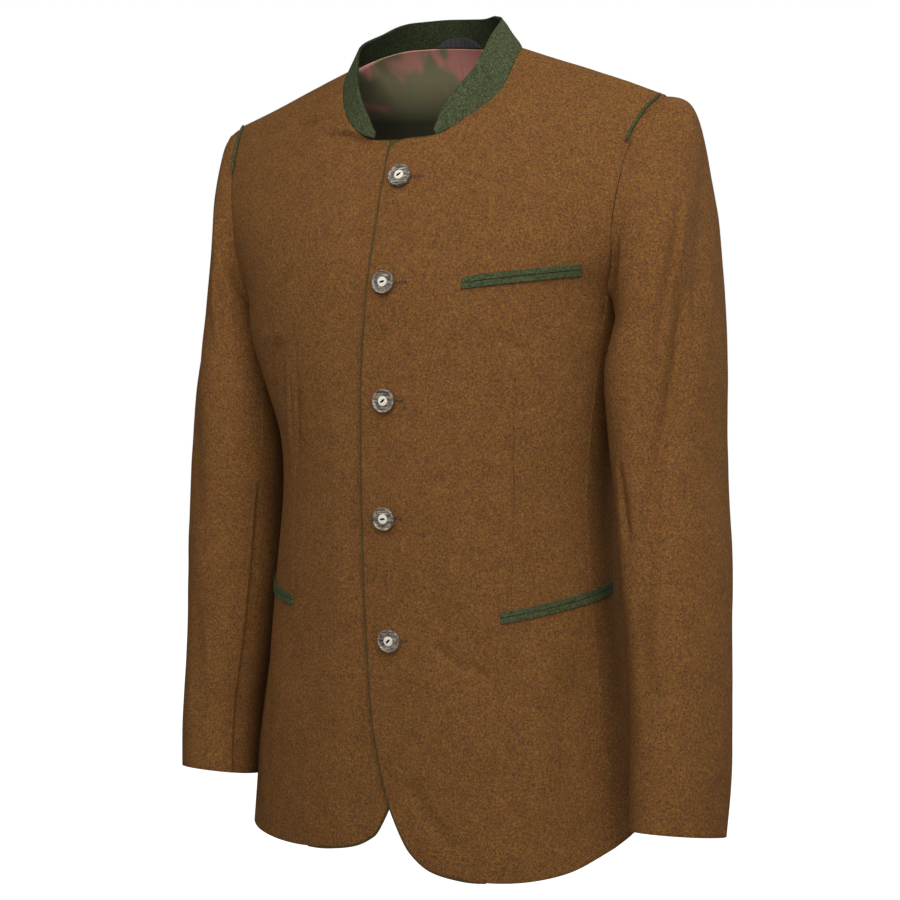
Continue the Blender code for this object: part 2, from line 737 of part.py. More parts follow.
def wall(name, outer, inner, colour):
    """Cloth wall lofted between two grids of points, with its four rims closed."""
    mesh = bmesh.new()
    faces = [[[mesh.verts.new(point) for point in row] for row in grid] for grid in (outer, inner)]
    rows, columns = len(outer), len(outer[0])
    for row in range(rows - 1):
        for column in range(columns - 1):
            for skin, facing in ((faces[0], 1), (faces[1], -1)):
                low, beside = skin[row][column], skin[row][column + 1]
                across, above = skin[row + 1][column + 1], skin[row + 1][column]
                mesh.faces.new((low, beside, across)[::facing])
                mesh.faces.new((low, across, above)[::facing])
    rim = [(0, column) for column in range(columns)]
    rim += [(row, columns - 1) for row in range(1, rows)]
    rim += [(rows - 1, column) for column in range(columns - 2, -1, -1)]
    rim += [(row, 0) for row in range(rows - 2, 0, -1)]
    for here, there in zip(rim, rim[1:] + rim[:1]):
        mesh.faces.new(
            (
                faces[0][there[0]][there[1]],
                faces[0][here[0]][here[1]],
                faces[1][here[0]][here[1]],
                faces[1][there[0]][there[1]],
            )
        )
    bmesh.ops.recalc_face_normals(mesh, faces=mesh.faces)
    data = bpy.data.meshes.new(name)
    mesh.to_mesh(data)
    mesh.free()
    data.shade_smooth()
    data.set_sharp_from_angle(angle=math.radians(40.0))
    return add_piece(name, data, colour)


def heading(path, index):
    """Direction a path runs in at one of its points, halfway between its two stretches,
    and how much farther out a line beside it turns there."""
    after = (path[min(index + 1, len(path) - 1)] - path[index]).normalized()
    before = (path[index] - path[max(index - 1, 0)]).normalized()
    both = after + before
    bend = 2.0 / both.length if 0 < index < len(path) - 1 else 1.0
    return both.normalized(), bend


def tube(name, path, across, colour, lean):
    """Piping: a slim cord round a path, with closed ends."""
    mesh = bmesh.new()
    rings = []
    for index, point in enumerate(path):
        ahead, _ = heading(path, index)
        side = ahead.cross(lean[index]).normalized()
        up = side.cross(ahead).normalized()
        ends = 0.45 if index in (0, len(path) - 1) else 1.0
        half = across / 2.0 * ends
        ring = []
        for step in range(TUBE_SIDES):
            angle = 2.0 * math.pi * step / TUBE_SIDES
            ring.append((side * math.cos(angle) + up * math.sin(angle)) * half)
        rings.append([mesh.verts.new(point + offset) for offset in ring])
    for here, there in zip(rings, rings[1:]):
        for index in range(len(here)):
            after = (index + 1) % len(here)
            mesh.faces.new((here[index], here[after], there[after], there[index]))
    mesh.faces.new(rings[0])
    mesh.faces.new(rings[-1])
    bmesh.ops.recalc_face_normals(mesh, faces=mesh.faces)
    data = bpy.data.meshes.new(name)
    mesh.to_mesh(data)
    mesh.free()
    return add_piece(name, data, colour)


# ---------------------------------------------------------------- torso pieces
def sink_under(across):
    """How far the right front lies under the left one."""
    start, end = LAP_RAMP
    return LAP_SINK * ease((start + across) / (start - end))


def torso_wall(name, places, colour, sink=None, thickness=CLOTH, lift=0.0):
    """Wall on the torso form over rows of angles and levels."""
    outer, inner = [], []
    for row in places:
        outer.append([])
        inner.append([])
        for turn, level in row:
            out = torso_out(turn, level)
            point = torso_skin(turn, level, lift)
            if sink:
                point -= out * sink(point.x)
            outer[-1].append(point)
            inner[-1].append(point - out * thickness)
    return wall(name, outer, inner, colour)


def nudge(places, start=0.0, end=0.0):
    """Draw a piece's two side edges in by small angles, which leaves the seam gap."""
    moved = []
    for row in places:
        row = list(row)
        row[0] = (row[0][0] + start, row[0][1])
        row[-1] = (row[-1][0] - end, row[-1][1])
        moved.append(row)
    return moved


def front_places(side):
    outer = seam_edge(side, FRONT_SEAM_DEPTH) + armhole_edge("front", side, YOKE_ROWS)
    places = ruled(front_inner_edge(side), outer, side)
    return nudge(places, end=SEAM_TURN)


def mirrored(places):
    return [[(-turn, level) for turn, level in row] for row in places]


def add_fronts():
    torso_wall("front_left", front_places("left"), "loden")
    torso_wall("front_right", mirrored(front_places("right")), "loden", sink=sink_under)


def add_sides():
    for side in FACING:
        front_edge = seam_edge(side, FRONT_SEAM_DEPTH)
        back_edge = seam_edge(side, BACK_SEAM_DEPTH)
        places = []
        for index, (start, end) in enumerate(zip(front_edge, back_edge)):
            row = []
            for share in spread(SIDE_COLUMNS):
                turn = mix(start[0], end[0], share)
                bottom, top = hem_level(side, turn), underarm_level(share)
                row.append((turn, mix(bottom, top, index / LOWER_ROWS)))
            places.append(row)
        places = nudge(places, start=SEAM_TURN, end=SEAM_TURN)
        if side == "right":
            places = mirrored(places)
        torso_wall("side_" + side, places, "loden")


def half_back(side):
    """One half of the back from its side edge to the centre; its top edge runs along the
    shoulder seam and the neck."""
    edge = seam_edge(side, BACK_SEAM_DEPTH) + armhole_edge("back", side, YOKE_ROWS)
    neck = back_neck_line()
    tops = [(mix(edge[-1][0], neck[-1][0], share), 0.0) for share in spread(SHOULDER_COLUMNS)]
    tops += list(reversed(neck))[1:]
    places = []
    for index, (turn, level) in enumerate(edge):
        rise = (level - edge[0][1]) / (edge[-1][1] - edge[0][1])
        settled = ease(index / (len(edge) - 1))
        row = []
        for column, top in enumerate(tops):
            share = column / (len(tops) - 1)
            top_share = (top[0] - tops[0][0]) / (math.pi - tops[0][0])
            bottom = hem_level(side, mix(edge[0][0], math.pi, share))
            row.append((mix(turn, math.pi, mix(share, top_share, settled)), mix(bottom, top[1], rise)))
        places.append(row)
    return nudge(places, start=SEAM_TURN)


def add_back():
    full = []
    for left, right in zip(half_back("left"), half_back("right")):
        full.append(left + [(2.0 * math.pi - turn, level) for turn, level in reversed(right[:-1])])
    torso_wall("back", full, "loden")
    add_back_lining(full)


# ---------------------------------------------------------------- sleeves
def forearm_seam(along):
    return follow(FOREARM_SEAM, along).degrees


def hindarm_seam(along):
    return HINDARM_SEAM - 360.0


def under_end(along):
    return HINDARM_SEAM


def sleeve_wall(name, side, first, last, columns):
    """Sleeve piece between two seams, whose angles change along the arm; the seam gap is
    left at its ends."""
    outer, inner = [], []
    inset = math.degrees(SEAM_GAP * 0.55 / 0.055)
    for share_down in spread(SLEEVE_ROWS):
        along = SLEEVE_LENGTH * share_down**1.15
        row = [mix(first(along) + inset, last(along) - inset, share) for share in spread(columns)]
        outer.append([sleeve_skin(side, degrees, along) for degrees in row])
        inner.append([sleeve_skin(side, degrees, along, -CLOTH) for degrees in row])
    return wall(name, outer, inner, "loden")


def add_sleeves():
    for side in FACING:
        sleeve_wall("sleeve_upper_" + side, side, hindarm_seam, forearm_seam, UPPER_COLUMNS)
        sleeve_wall("sleeve_under_" + side, side, forearm_seam, under_end, UNDER_COLUMNS)


# ---------------------------------------------------------------- collar
def neck_line(side):
    """One half of the neck seam from centre back to the collar's front end."""
    facing = FACING[side]
    places = [(turn * facing, level) for turn, level in back_neck_line()]
    front = list(reversed(front_neck_line(side)))
    places += [seen(across * facing, height) for across, height in front[1:]]
    points = [torso_base(turn, level) for turn, level in places]
    outs = [torso_out(turn, level) for turn, level in places]
    for share in COLLAR_END_STEPS:
        points.insert(-1, points[-2].lerp(points[-1], share))
        outs.insert(-1, outs[-2].lerp(outs[-1], share).normalized())
    reach = [0.0]
    for here, there in zip(points, points[1:]):
        reach.append(reach[-1] + (there - here).length)
    return points, outs, reach


NECK_LINES = {side: neck_line(side) for side in FACING}


def collar_column(side, index, row_share):
    """Outer and inner point of the collar."""
    points, outs, reach = NECK_LINES[side]
    foot, out = points[index], outs[index]
    stand = follow(COLLAR, reach[index] / reach[-1])
    height = stand.left_height if side == "left" else stand.right_height
    away = Vector((foot.x, foot.y - NECK_MIDDLE, 0.0)).normalized()
    lean = math.radians(stand.lean)
    rise = Vector((0.0, 0.0, math.cos(lean))) - away * math.sin(lean)
    before, after = points[max(index - 1, 0)], points[min(index + 1, len(points) - 1)]
    seam = (after - before).normalized()
    rise = (rise - seam * rise.dot(seam) * stand.square).normalized()
    facing = rise.cross(seam).normalized() * FACING[side]
    facing = facing if facing.dot(away) > 0.0 else -facing
    outer = foot + rise * (SEAM_GAP * 1.6 + height * row_share)
    through = out.lerp(facing, ease(row_share * 1.5)).normalized()
    return outer, outer - through * COLLAR_CLOTH


def add_collar():
    outer, inner = [], []
    last = len(NECK_LINES["left"][0]) - 1
    for signed in range(-last, last + 1):
        side = "right" if signed < 0 else "left"
        pair = [collar_column(side, abs(signed), share) for share in spread(COLLAR_ROWS)]
        outer.append([out for out, _ in pair])
        inner.append([through for _, through in pair])
    wall("collar", outer, inner, "green_loden")


# ---------------------------------------------------------------- piping
def add_edge_piping():
    """Piping beside the front edge, from the collar's end round the hem corner."""
    for side, facing in FACING.items():
        front = front_places(side)
        edge = [row[0] for row in reversed(front[:LOWER_ROWS + CHEST_ROWS + LAP_ROWS + 1])]
        places = [[mix(*both, 0.1) for both in zip(edge[0], edge[1])]] + edge[1:]
        places += front[0][1:HEM_PIPING_COLUMNS]
        points, outs = [], []
        for turn, level in places:
            out = torso_out(turn * facing, level)
            point = torso_skin(turn * facing, level, -CLOTH / 2.0)
            if side == "right":
                point -= out * sink_under(point.x)
            points.append(point)
            outs.append(out)
        path = []
        for index, point in enumerate(points):
            ahead, bend = heading(points, index)
            away = outs[index].cross(ahead).normalized() * facing
            path.append(point - away * (PIPING / 2.0 + SEAM_GAP * 1.6) * bend)
        tube("edge_piping_" + side, path, PIPING, "piping", outs)


def add_head_piping():
    """Crescent of piping on the front of each sleeve head, on the body's side."""
    for side, facing in FACING.items():
        path, outs = [], []
        for share in spread(14):
            up = mix(HEAD_PIPING_SHARE, 0.985, share)
            across = armhole_across("front", side, up) - 0.0030
            level = CHEST_LINE * (1.0 - up)
            turn = turn_at(across * facing, level)
            outs.append(torso_out(turn, level))
            path.append(torso_skin(turn, level, HEAD_PIPING / 2.0 + HEAD_PIPING_LIFT))
        tube("sleeve_head_piping_" + side, path, HEAD_PIPING, "green_loden", outs)


# ---------------------------------------------------------------- pockets
def add_welts():
    """Each pocket mouth has two narrow strips with a slit between them."""
    for welt in WELTS:
        for strip, base in (("upper", WELT_SLIT / 2.0), ("lower", -WELT_SLIT / 2.0 - WELT_HEIGHT)):
            rows = []
            for height_share in spread(WELT_ROWS):
                up = base + WELT_HEIGHT * height_share
                start = seen(welt.start_x, welt.start_z + up)
                end = seen(welt.end_x, welt.end_z + up)
                row = []
                for share in spread(WELT_COLUMNS):
                    level = mix(start[1], end[1], share) - welt.bow * math.sin(math.pi * share)
                    row.append((mix(start[0], end[0], share), level))
                rows.append(row)
            torso_wall(welt.name + "_" + strip, rows, "green_loden", thickness=WELT_CLOTH,
                       lift=WELT_CLOTH + WELT_LIFT)


# ---------------------------------------------------------------- buttons
def add_buttons():
    for fastening in BUTTONS:
        turn, level = seen(fastening.across, fastening.height)
        out = torso_out(turn, level)
        foot = torso_skin(turn, level, SEAM_GAP)
        data = bpy.data.meshes.new(fastening.name)
        mesh = bmesh.new()
        corners = [mesh.verts.new((row.radius, 0.0, row.height)) for row in BUTTON_PROFILE]
        edges = [mesh.edges.new(pair) for pair in zip(corners, corners[1:])]
        bmesh.ops.spin(mesh, geom=corners + edges, cent=(0, 0, 0), axis=(0, 0, 1),
                       angle=2.0 * math.pi, steps=BUTTON_SEGMENTS, use_merge=True)
        bmesh.ops.remove_doubles(mesh, verts=mesh.verts, dist=1e-6)
        bmesh.ops.recalc_face_normals(mesh, faces=mesh.faces)
        mesh.to_mesh(data)
        mesh.free()
        data.shade_smooth()
        data.set_sharp_from_angle(angle=math.radians(35.0))
        button = add_piece(fastening.name, data, "horn")
        button.rotation_euler = out.to_track_quat("Z", "Y").to_euler()
        button.location = foot


# ---------------------------------------------------------------- inside the back neck
def add_back_lining(back):
    """The stretch of lining that shows inside the back neck, on the back's own points."""
    rows = [row[LINING_INSET:-LINING_INSET] for row in back[-LINING_ROWS:]]
    torso_wall("back_lining", rows, "lining", thickness=LINING_CLOTH, lift=-CLOTH - SEAM_GAP)


def collar_inside(across, row_share):
    """Point of the collar's inner face near centre back, and the direction into the neck."""
    side = "left" if across >= 0.0 else "right"
    pairs = [collar_column(side, index, row_share) for index in range(4)]
    for (_, near), (_, far) in zip(pairs, pairs[1:]):
        if abs(far.x) >= abs(across):
            share = (abs(across) - abs(near.x)) / (abs(far.x) - abs(near.x))
            facing = (pairs[0][1] - pairs[0][0]).normalized()
            return near.lerp(far, share), facing


def add_hanger_loop():
    """Blank loop on the collar's inner face at centre back, narrower at its top."""
    outer, inner = [], []
    for row_share, half in LOOP_ROWS:
        row = [collar_inside(half * share, row_share) for share in (-1.0, -0.5, 0.0, 0.5, 1.0)]
        outer.append([point + facing * SEAM_GAP for point, facing in row])
        inner.append([point + facing * (SEAM_GAP + LOOP_CLOTH) for point, facing in row])
    wall("hanger_loop", outer, inner, "loop")


def main():
    for leftover in list(bpy.data.objects):
        bpy.data.objects.remove(leftover)
    group = bpy.data.collections.new(COLLECTION)
    bpy.context.scene.collection.children.link(group)
    add_fronts()
    add_sides()
    add_back()
    add_sleeves()
    add_collar()
    add_edge_piping()
    add_head_piping()
    add_welts()
    add_buttons()
    add_hanger_loop()


main()
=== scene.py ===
"""The looks of a Tyrolean loden jacket: cloth shells, trims, sewing, buttons, finishes and a stage.

Every length is in metres unless its name ends in _mm, X runs to the wearer's left, Y to the back, and Z up.
"""

import math
from collections import namedtuple
from contextlib import contextmanager

import bmesh
import bpy
import numpy as np
from mathutils import Matrix, Vector, noise
from mathutils.bvhtree import BVHTree
from mathutils.kdtree import KDTree


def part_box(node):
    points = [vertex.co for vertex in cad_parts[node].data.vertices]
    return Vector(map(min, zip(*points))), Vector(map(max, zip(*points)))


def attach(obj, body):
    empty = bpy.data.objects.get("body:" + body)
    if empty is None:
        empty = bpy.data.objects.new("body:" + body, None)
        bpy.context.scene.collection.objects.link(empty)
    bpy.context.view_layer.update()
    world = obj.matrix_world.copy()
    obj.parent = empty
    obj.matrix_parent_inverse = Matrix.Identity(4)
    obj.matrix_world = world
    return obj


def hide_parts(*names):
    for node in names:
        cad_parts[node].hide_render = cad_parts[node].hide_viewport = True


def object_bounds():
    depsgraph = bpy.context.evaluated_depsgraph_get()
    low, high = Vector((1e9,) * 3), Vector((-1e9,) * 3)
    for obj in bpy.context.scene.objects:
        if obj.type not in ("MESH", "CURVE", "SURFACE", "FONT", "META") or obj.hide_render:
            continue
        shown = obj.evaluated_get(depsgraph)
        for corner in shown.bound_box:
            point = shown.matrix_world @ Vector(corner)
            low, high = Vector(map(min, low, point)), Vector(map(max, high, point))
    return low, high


bl_info = {
    "name": "Tyrolean Loden Jacket",
    "version": (1, 0, 0),
    "blender": (4, 5, 0),
    "location": "3D View > Sidebar > Loden Jacket",
    "description": "Dresses the jacket's solids in milled wool, green trim, horn buttons and sewing",
    "category": "Add Mesh",
}

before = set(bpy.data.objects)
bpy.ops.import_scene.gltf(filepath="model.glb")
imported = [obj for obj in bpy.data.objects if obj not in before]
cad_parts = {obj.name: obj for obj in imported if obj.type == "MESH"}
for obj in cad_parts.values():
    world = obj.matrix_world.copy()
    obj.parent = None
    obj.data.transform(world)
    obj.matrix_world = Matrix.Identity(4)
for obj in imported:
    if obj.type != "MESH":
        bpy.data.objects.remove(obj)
CAD_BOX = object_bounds()

MM = 0.001
WELD = 0.01 * MM
SIDES = ("left", "right")

# Shells
CUT_EDGE_ANGLE = math.radians(50.0)  # a wall's cut edge turns by more than this
QUAD_BEND = math.radians(38.0)  # two triangles of one quad turn by less
SHELL_LEVELS = 2
FINE_LEVELS = 3  # for the cloth with the sharpest creases
EDGE_ROUND = 0.80 * MM  # a cut edge is worn round by this much
TAPE_ROUND = 0.15 * MM
SMOOTH_ANGLE = math.radians(42.0)

# The outward direction of the body's cloth: half the width and depth of the body, and the shoulders' start
BODY_HALF_WIDTH = 0.220
BODY_HALF_DEPTH = 0.125
BODY_CENTRE_DEPTH = 0.010
SHOULDER_START = -0.150
SHOULDER_RISE = 0.150
FRONT_VIEW = -0.5  # a depth well in front of the jacket
FACING_TURN = 0.35  # the collar's faces turned inwards by more than this take the darker green of its inner side, a painted shade
SLEEVE_BANDS = 9
SLEEVE_LINE_TOP = 0.10  # a sleeve's middle line starts this far below its head

# Slight unevenness of hand-pressed wool: how wide and high the swellings are, and a seed
SWELLS = ((0.085, 0.00110, 3.1), (0.032, 0.00045, 7.7))

# Creases, in millimetres: where each starts, its middle and its end, its depth (a ridge is below
# zero) and how far its slope reaches to either side
CREASES = {
    # left front
    "beside dart": ((101, -86, -298), (100, -85, -315), (107, -81, -334), 2.4, 5),
    "above dart": ((96, -89, -270), (116, -79, -274), (133, -67, -289), 2.0, 7),
    "dart end": ((141, -56, -330), (130, -66, -330), (116, -75, -337), 1.2, 6),
    "below second button": ((47, -101, -243), (42, -102, -278), (37, -103, -316), 1.2, 7),
    "last button pull": ((39, -96, -542), (60, -91, -558), (80, -86, -573), 2.3, 6),
    "last button pull low": ((71, -88, -558), (86, -84, -570), (98, -79, -581), 2.5, 6),
    "front edge roll": ((16, -96, -663), (37, -94, -703), (73, -88, -740), 2.4, 11),
    "under hip welt": ((87, -84, -539), (111, -76, -537), (135, -60, -532), 1.2, 8),
    "skirt left": ((150, -44, -560), (153, -46, -640), (158, -44, -726), 2.6, 17),
    # right front
    "neck pull": ((-100, -52, -79), (-68, -56, -75), (-20, -65, -94), 5.2, 5),
    "neck pull above": ((-153, -24, -60), (-105, -40, -58), (-71, -45, -54), 4.4, 6),
    "neck pull far": ((-206, -8, -68), (-176, -16, -61), (-138, -32, -64), 3.0, 7),
    "chest dent": ((-150, -60, -301), (-135, -74, -280), (-112, -86, -271), 3.2, 7),
    "chest arch": ((-155, -62, -273), (-138, -75, -263), (-113, -87, -259), -2.0, 5),
    "far dart ridge": ((-111, -86, -276), (-117, -76, -335), (-126, -63, -399), -2.0, 5),
    "far dart trough": ((-100, -90, -280), (-104, -83, -339), (-111, -73, -402), 2.2, 5),
    "skirt right": ((-146, -46, -580), (-150, -46, -650), (-154, -44, -716), 2.2, 16),
    # left side
    "side roll": ((168, 36, -380), (166, 53, -455), (172, 50, -535), -2.0, 18),
    # back
    "blade left": ((128, 84, -150), (112, 104, -214), (104, 112, -290), 5.1, 20),
    "blade right": ((-126, 86, -156), (-114, 103, -222), (-100, 112, -284), 4.9, 19),
    "nape": ((40, 92, -36), (0, 99, -44), (-44, 92, -38), 3.2, 11),
    "waist back left": ((150, 74, -382), (96, 108, -396), (40, 120, -392), 4.4, 13),
    "waist back right": ((-152, 73, -374), (-104, 106, -392), (-52, 119, -400), 4.1, 14),
    "waist back low": ((120, 100, -432), (30, 122, -440), (-70, 116, -428), 2.7, 15),
    "seat left": ((92, 112, -520), (100, 112, -610), (104, 114, -712), 5.4, 22),
    "seat right": ((-84, 114, -540), (-96, 113, -620), (-98, 115, -714), 4.9, 24),
    "seat middle": ((8, 128, -560), (2, 130, -640), (6, 131, -720), -3.7, 22),
    # left sleeve, from the head to the cuff
    "trough high": ((249, -12, -121), (249, -34, -191), (234, -48, -303), 3.0, 7),
    "ridge high": ((255, -5, -130), (255, -24, -178), (251, -30, -226), -1.8, 6),
    "trough long": ((254, -24, -201), (248, -34, -309), (232, -58, -448), 4.4, 9),
    "ridge long": ((258, -6, -177), (257, -15, -234), (255, -25, -292), -2.0, 6),
    "inner elbow": ((205, -51, -368), (211, -54, -408), (220, -58, -459), 2.6, 6),
    "elbow bump": ((221, -57, -383), (224, -58, -414), (225, -59, -441), -1.9, 8),
    "dent low": ((239, -69, -572), (249, -72, -577), (258, -72, -580), 1.7, 8),
    "armpit roll": ((204, -40, -171), (203, -42, -201), (199, -39, -234), -1.5, 6),
    "inner roll": ((203, -47, -395), (209, -49, -460), (214, -50, -530), -2.6, 14),
    "elbow fold": ((258, 46, -404), (236, 62, -392), (206, 56, -398), 4.3, 11),
    "elbow fold low": ((264, 42, -440), (240, 56, -434), (210, 48, -444), 3.6, 11),
    "elbow fold high": ((256, 50, -352), (238, 64, -344), (212, 60, -350), 2.9, 12),
    "forearm back": ((282, 22, -500), (276, 28, -560), (266, 26, -622), 2.3, 14),
    "cuff": ((292, -40, -650), (296, -28, -670), (296, -8, -684), 1.8, 11),
    # right sleeve
    "far ridge": ((-227, -40, -190), (-222, -45, -238), (-213, -49, -286), -2.0, 6),
    "far trough": ((-216, -40, -190), (-211, -45, -258), (-197, -48, -367), 2.1, 8),
    "far head": ((-234, -26, -135), (-226, -25, -125), (-216, -23, -119), -1.4, 5),
    "far head corner": ((-236, -8, -84), (-240, 14, -56), (-237, 52, -66), 1.7, 9),
    "far head outer": ((-262, 8, -160), (-266, 10, -214), (-268, 8, -270), 2.0, 13),
    "far elbow fold": ((-256, 46, -402), (-232, 60, -390), (-202, 54, -396), 3.9, 11),
    "far elbow low": ((-258, 40, -442), (-234, 52, -436), (-204, 46, -444), 3.5, 11),
    "far elbow high": ((-254, 48, -350), (-236, 60, -342), (-208, 58, -350), 2.7, 12),
    "far forearm": ((-208, -66, -540), (-212, -70, -596), (-214, -72, -650), 2.0, 11),
}
CREASE_STEPS = 8
CREASE_TAPER = 0.32  # share of a crease's length over which it fades in and out
CREASE_SPAN = 1.5  # the slope and the lip beside it end at this many reaches
CREASE_LIP = 1.7  # the larger, the higher the cloth is pushed up beside the crease

# Stitched folds: a dart runs from its point to the pocket's level; the lining's ease pleat stands proud
Dart = namedtuple("Dart", "node across_top across_low top low depth fade")
DARTS = (
    Dart("front_left", 0.1165, 0.1125, -0.298, -0.513, 2.5 * MM, 0.035),
    Dart("front_right", -0.1110, -0.1145, -0.290, -0.520, 2.5 * MM, 0.035),
    Dart("back_lining", -0.0020, -0.0075, 0.016, -0.006, -1.6 * MM, 0.010),
)
DART_HALF = 0.9 * MM
DART_STITCH = 0.05 * MM  # a point this near to the stitched line lies on it

# Seams, in the order in which they are pressed: each piece is kept clear of the neighbours that it is
# sewn to, and {} stands for its side
SEAMS = (
    ("side_{}", ("front_{}", "back")),
    ("sleeve_upper_{}", ("front_{}", "back", "side_{}")),
    ("sleeve_under_{}", ("side_{}", "back", "sleeve_upper_{}")),
    ("collar", ("back", "front_left", "front_right")),
    ("back", ("collar",)),
    ("front_{}", ("side_{}", "sleeve_upper_{}", "collar", "edge_piping_{}")),
)
SEAM_REST = 0.10 * MM
SEAM_CLOSE = 0.45 * MM  # cloth this near to its neighbour is drawn to it
SEAM_REACH = 0.8 * MM
PIPING_REACH = 2.8 * MM  # a little more than the piping is thick

# Buttons: how far the slot of each is turned, in degrees, and how far its hole reaches past its middle
Button = namedtuple("Button", "node turn reach")
BUTTONS = (
    Button("button_1", 38.0, 0.0215),
    Button("button_2", 12.0, 0.0210),
    Button("button_3", 40.0, 0.0165),
    Button("button_4", 10.0, 0.0155),
    Button("button_5", 45.0, 0.0155),
)

# Buttonhole stitches
STITCH_PITCH = 0.75 * MM
FIRST_STITCH = 3  # those before it are hidden under the button
STITCH_ROW = 0.65 * MM  # from the middle of the hole to the middle of a row
STITCH_SPAN = 0.55 * MM
STITCH_THREAD = 0.20 * MM
STITCH_FOOT = 0.10 * MM  # how deep each stitch's feet go into the cloth
STITCH_FLAT = 0.42  # a stitch's height, as a share of a round one's
BAR_THREADS = 4
BAR_PITCH = 0.5 * MM
BAR_WIDTH = 2.1  # a bar's thread is this many stitches wide

# Button, turned from horn, with a pale eye let into its face
BUTTON_RADIUS = 10.7 * MM
BUTTON_TOP = 5.6 * MM  # the rim's height above the shank's foot
BUTTON_BODY = 3.5 * MM
BUTTON_RIM = 1.0 * MM
BUTTON_SLOPE = 1.3 * MM
BUTTON_DISH = 0.9 * MM
BUTTON_LIFT = 0.3 * MM  # the thread's wraps keep the shank this far off the cloth
BUTTON_SIDES = 72
BUTTON_BEVEL = 0.5 * MM
BUTTON_EDGE = math.radians(25.0)
EYE_LEVEL = BUTTON_TOP - BUTTON_DISH
EYE_RADIUS = 4.4 * MM
EYE_RISE = 0.8 * MM
EYE_RIM = 0.7 * MM
EYE_DOME = 0.2 * MM  # the rise from the eye's rim to its flat
EYE_FLAT = 1.0 * MM
EYE_SIDES = 48
SLOT_LENGTH = 5.4 * MM
SLOT_WIDTH = 2.0 * MM
SLOT_DEPTH = 0.75 * MM
SLOT_LIP = 0.1 * MM  # bone that still shows at the top of the slot's walls
SHANK_RADIUS = 2.6 * MM
SMALL_ANGLE = math.radians(50.0)  # turned parts are shaded smooth up to this bend
THREAD_ANGLE = math.radians(60.0)
LEVEL = 0.9  # a face is level where its normal's height is more than this

# Camera and stage
VIEW_TURN = math.radians(26.05)
VIEW_DISTANCE = 1.54
VIEW_HEIGHT = -0.281
VIEW_PITCH = math.radians(3.47)
VIEW_YAW = math.radians(0.568)
LENS_MM = 63.84
SENSOR_MM = 36.0
FLOOR_DROP = 0.69  # a wearer's soles are this far below the hem
FLOOR_SPAN = 14.0
LIT_PLACE = Vector((0.0, 0.0, -0.36))
LIGHTS = (  # square lights: place and width of each
    ("key", (0.80, -1.50, 0.62), 2.2),
    ("fill", (-1.7, -1.2, 0.3), 1.4),
    ("top", (0.1, -0.3, 1.9), 1.2),
    ("back", (1.5, 1.5, 0.8), 1.3),
)


# ---------------- colours and nodes

def linear(hex_colour):
    """An sRGB hex colour as linear red, green, blue and one."""
    shares = [int(hex_colour[place:place + 2], 16) / 255.0 for place in (1, 3, 5)]
    return tuple(s / 12.92 if s <= 0.04045 else ((s + 0.055) / 1.055) ** 2.4 for s in shares) + (1.0,)


def add_node(material, kind, inputs=None, **settings):
    """Adds one node to a material or a world; its inputs are values, or the sockets that feed them."""
    tree = material.node_tree
    node = tree.nodes.new(f"ShaderNode{kind}")
    for name, value in settings.items():
        setattr(node, name, value)
    for name, value in (inputs or {}).items():
        if isinstance(value, bpy.types.NodeSocket):
            tree.links.new(value, node.inputs[name])
        else:
            node.inputs[name].default_value = value
    return node


def new_material(name):
    """An empty node material, and the object coordinates that its patterns read."""
    material = bpy.data.materials.new(name)
    material.use_nodes = True
    material.node_tree.nodes.clear()
    return material, add_node(material, "TexCoord").outputs["Object"]


def finish_material(material, finish):
    """Gives a material its finish, and joins that to the output."""
    shader = add_node(material, "BsdfPrincipled", finish)
    add_node(material, "OutputMaterial", {"Surface": shader.outputs["BSDF"]})
    return material


def shade_by(material, colour, pattern, low, high, dark, light):
    """The colour times dark where the pattern is low, and times light where it is high."""
    shade = add_node(material, "MapRange", {
        "Value": pattern, "From Min": low, "From Max": high, "To Min": dark, "To Max": light})
    mix = add_node(material, "Mix", {
        0: 1.0, 6: colour, 7: shade.outputs["Result"]}, data_type="RGBA", blend_type="MULTIPLY")
    return mix.outputs[2]


def set_stops(ramp_node, *stops, interpolation="LINEAR"):
    """Fills a colour ramp with (place, colour) stops."""
    ramp = ramp_node.color_ramp
    ramp.interpolation = interpolation
    while len(ramp.elements) < len(stops):
        ramp.elements.new(0.5)
    for element, (place, colour) in zip(ramp.elements, stops):
        element.position = place
        element.color = colour


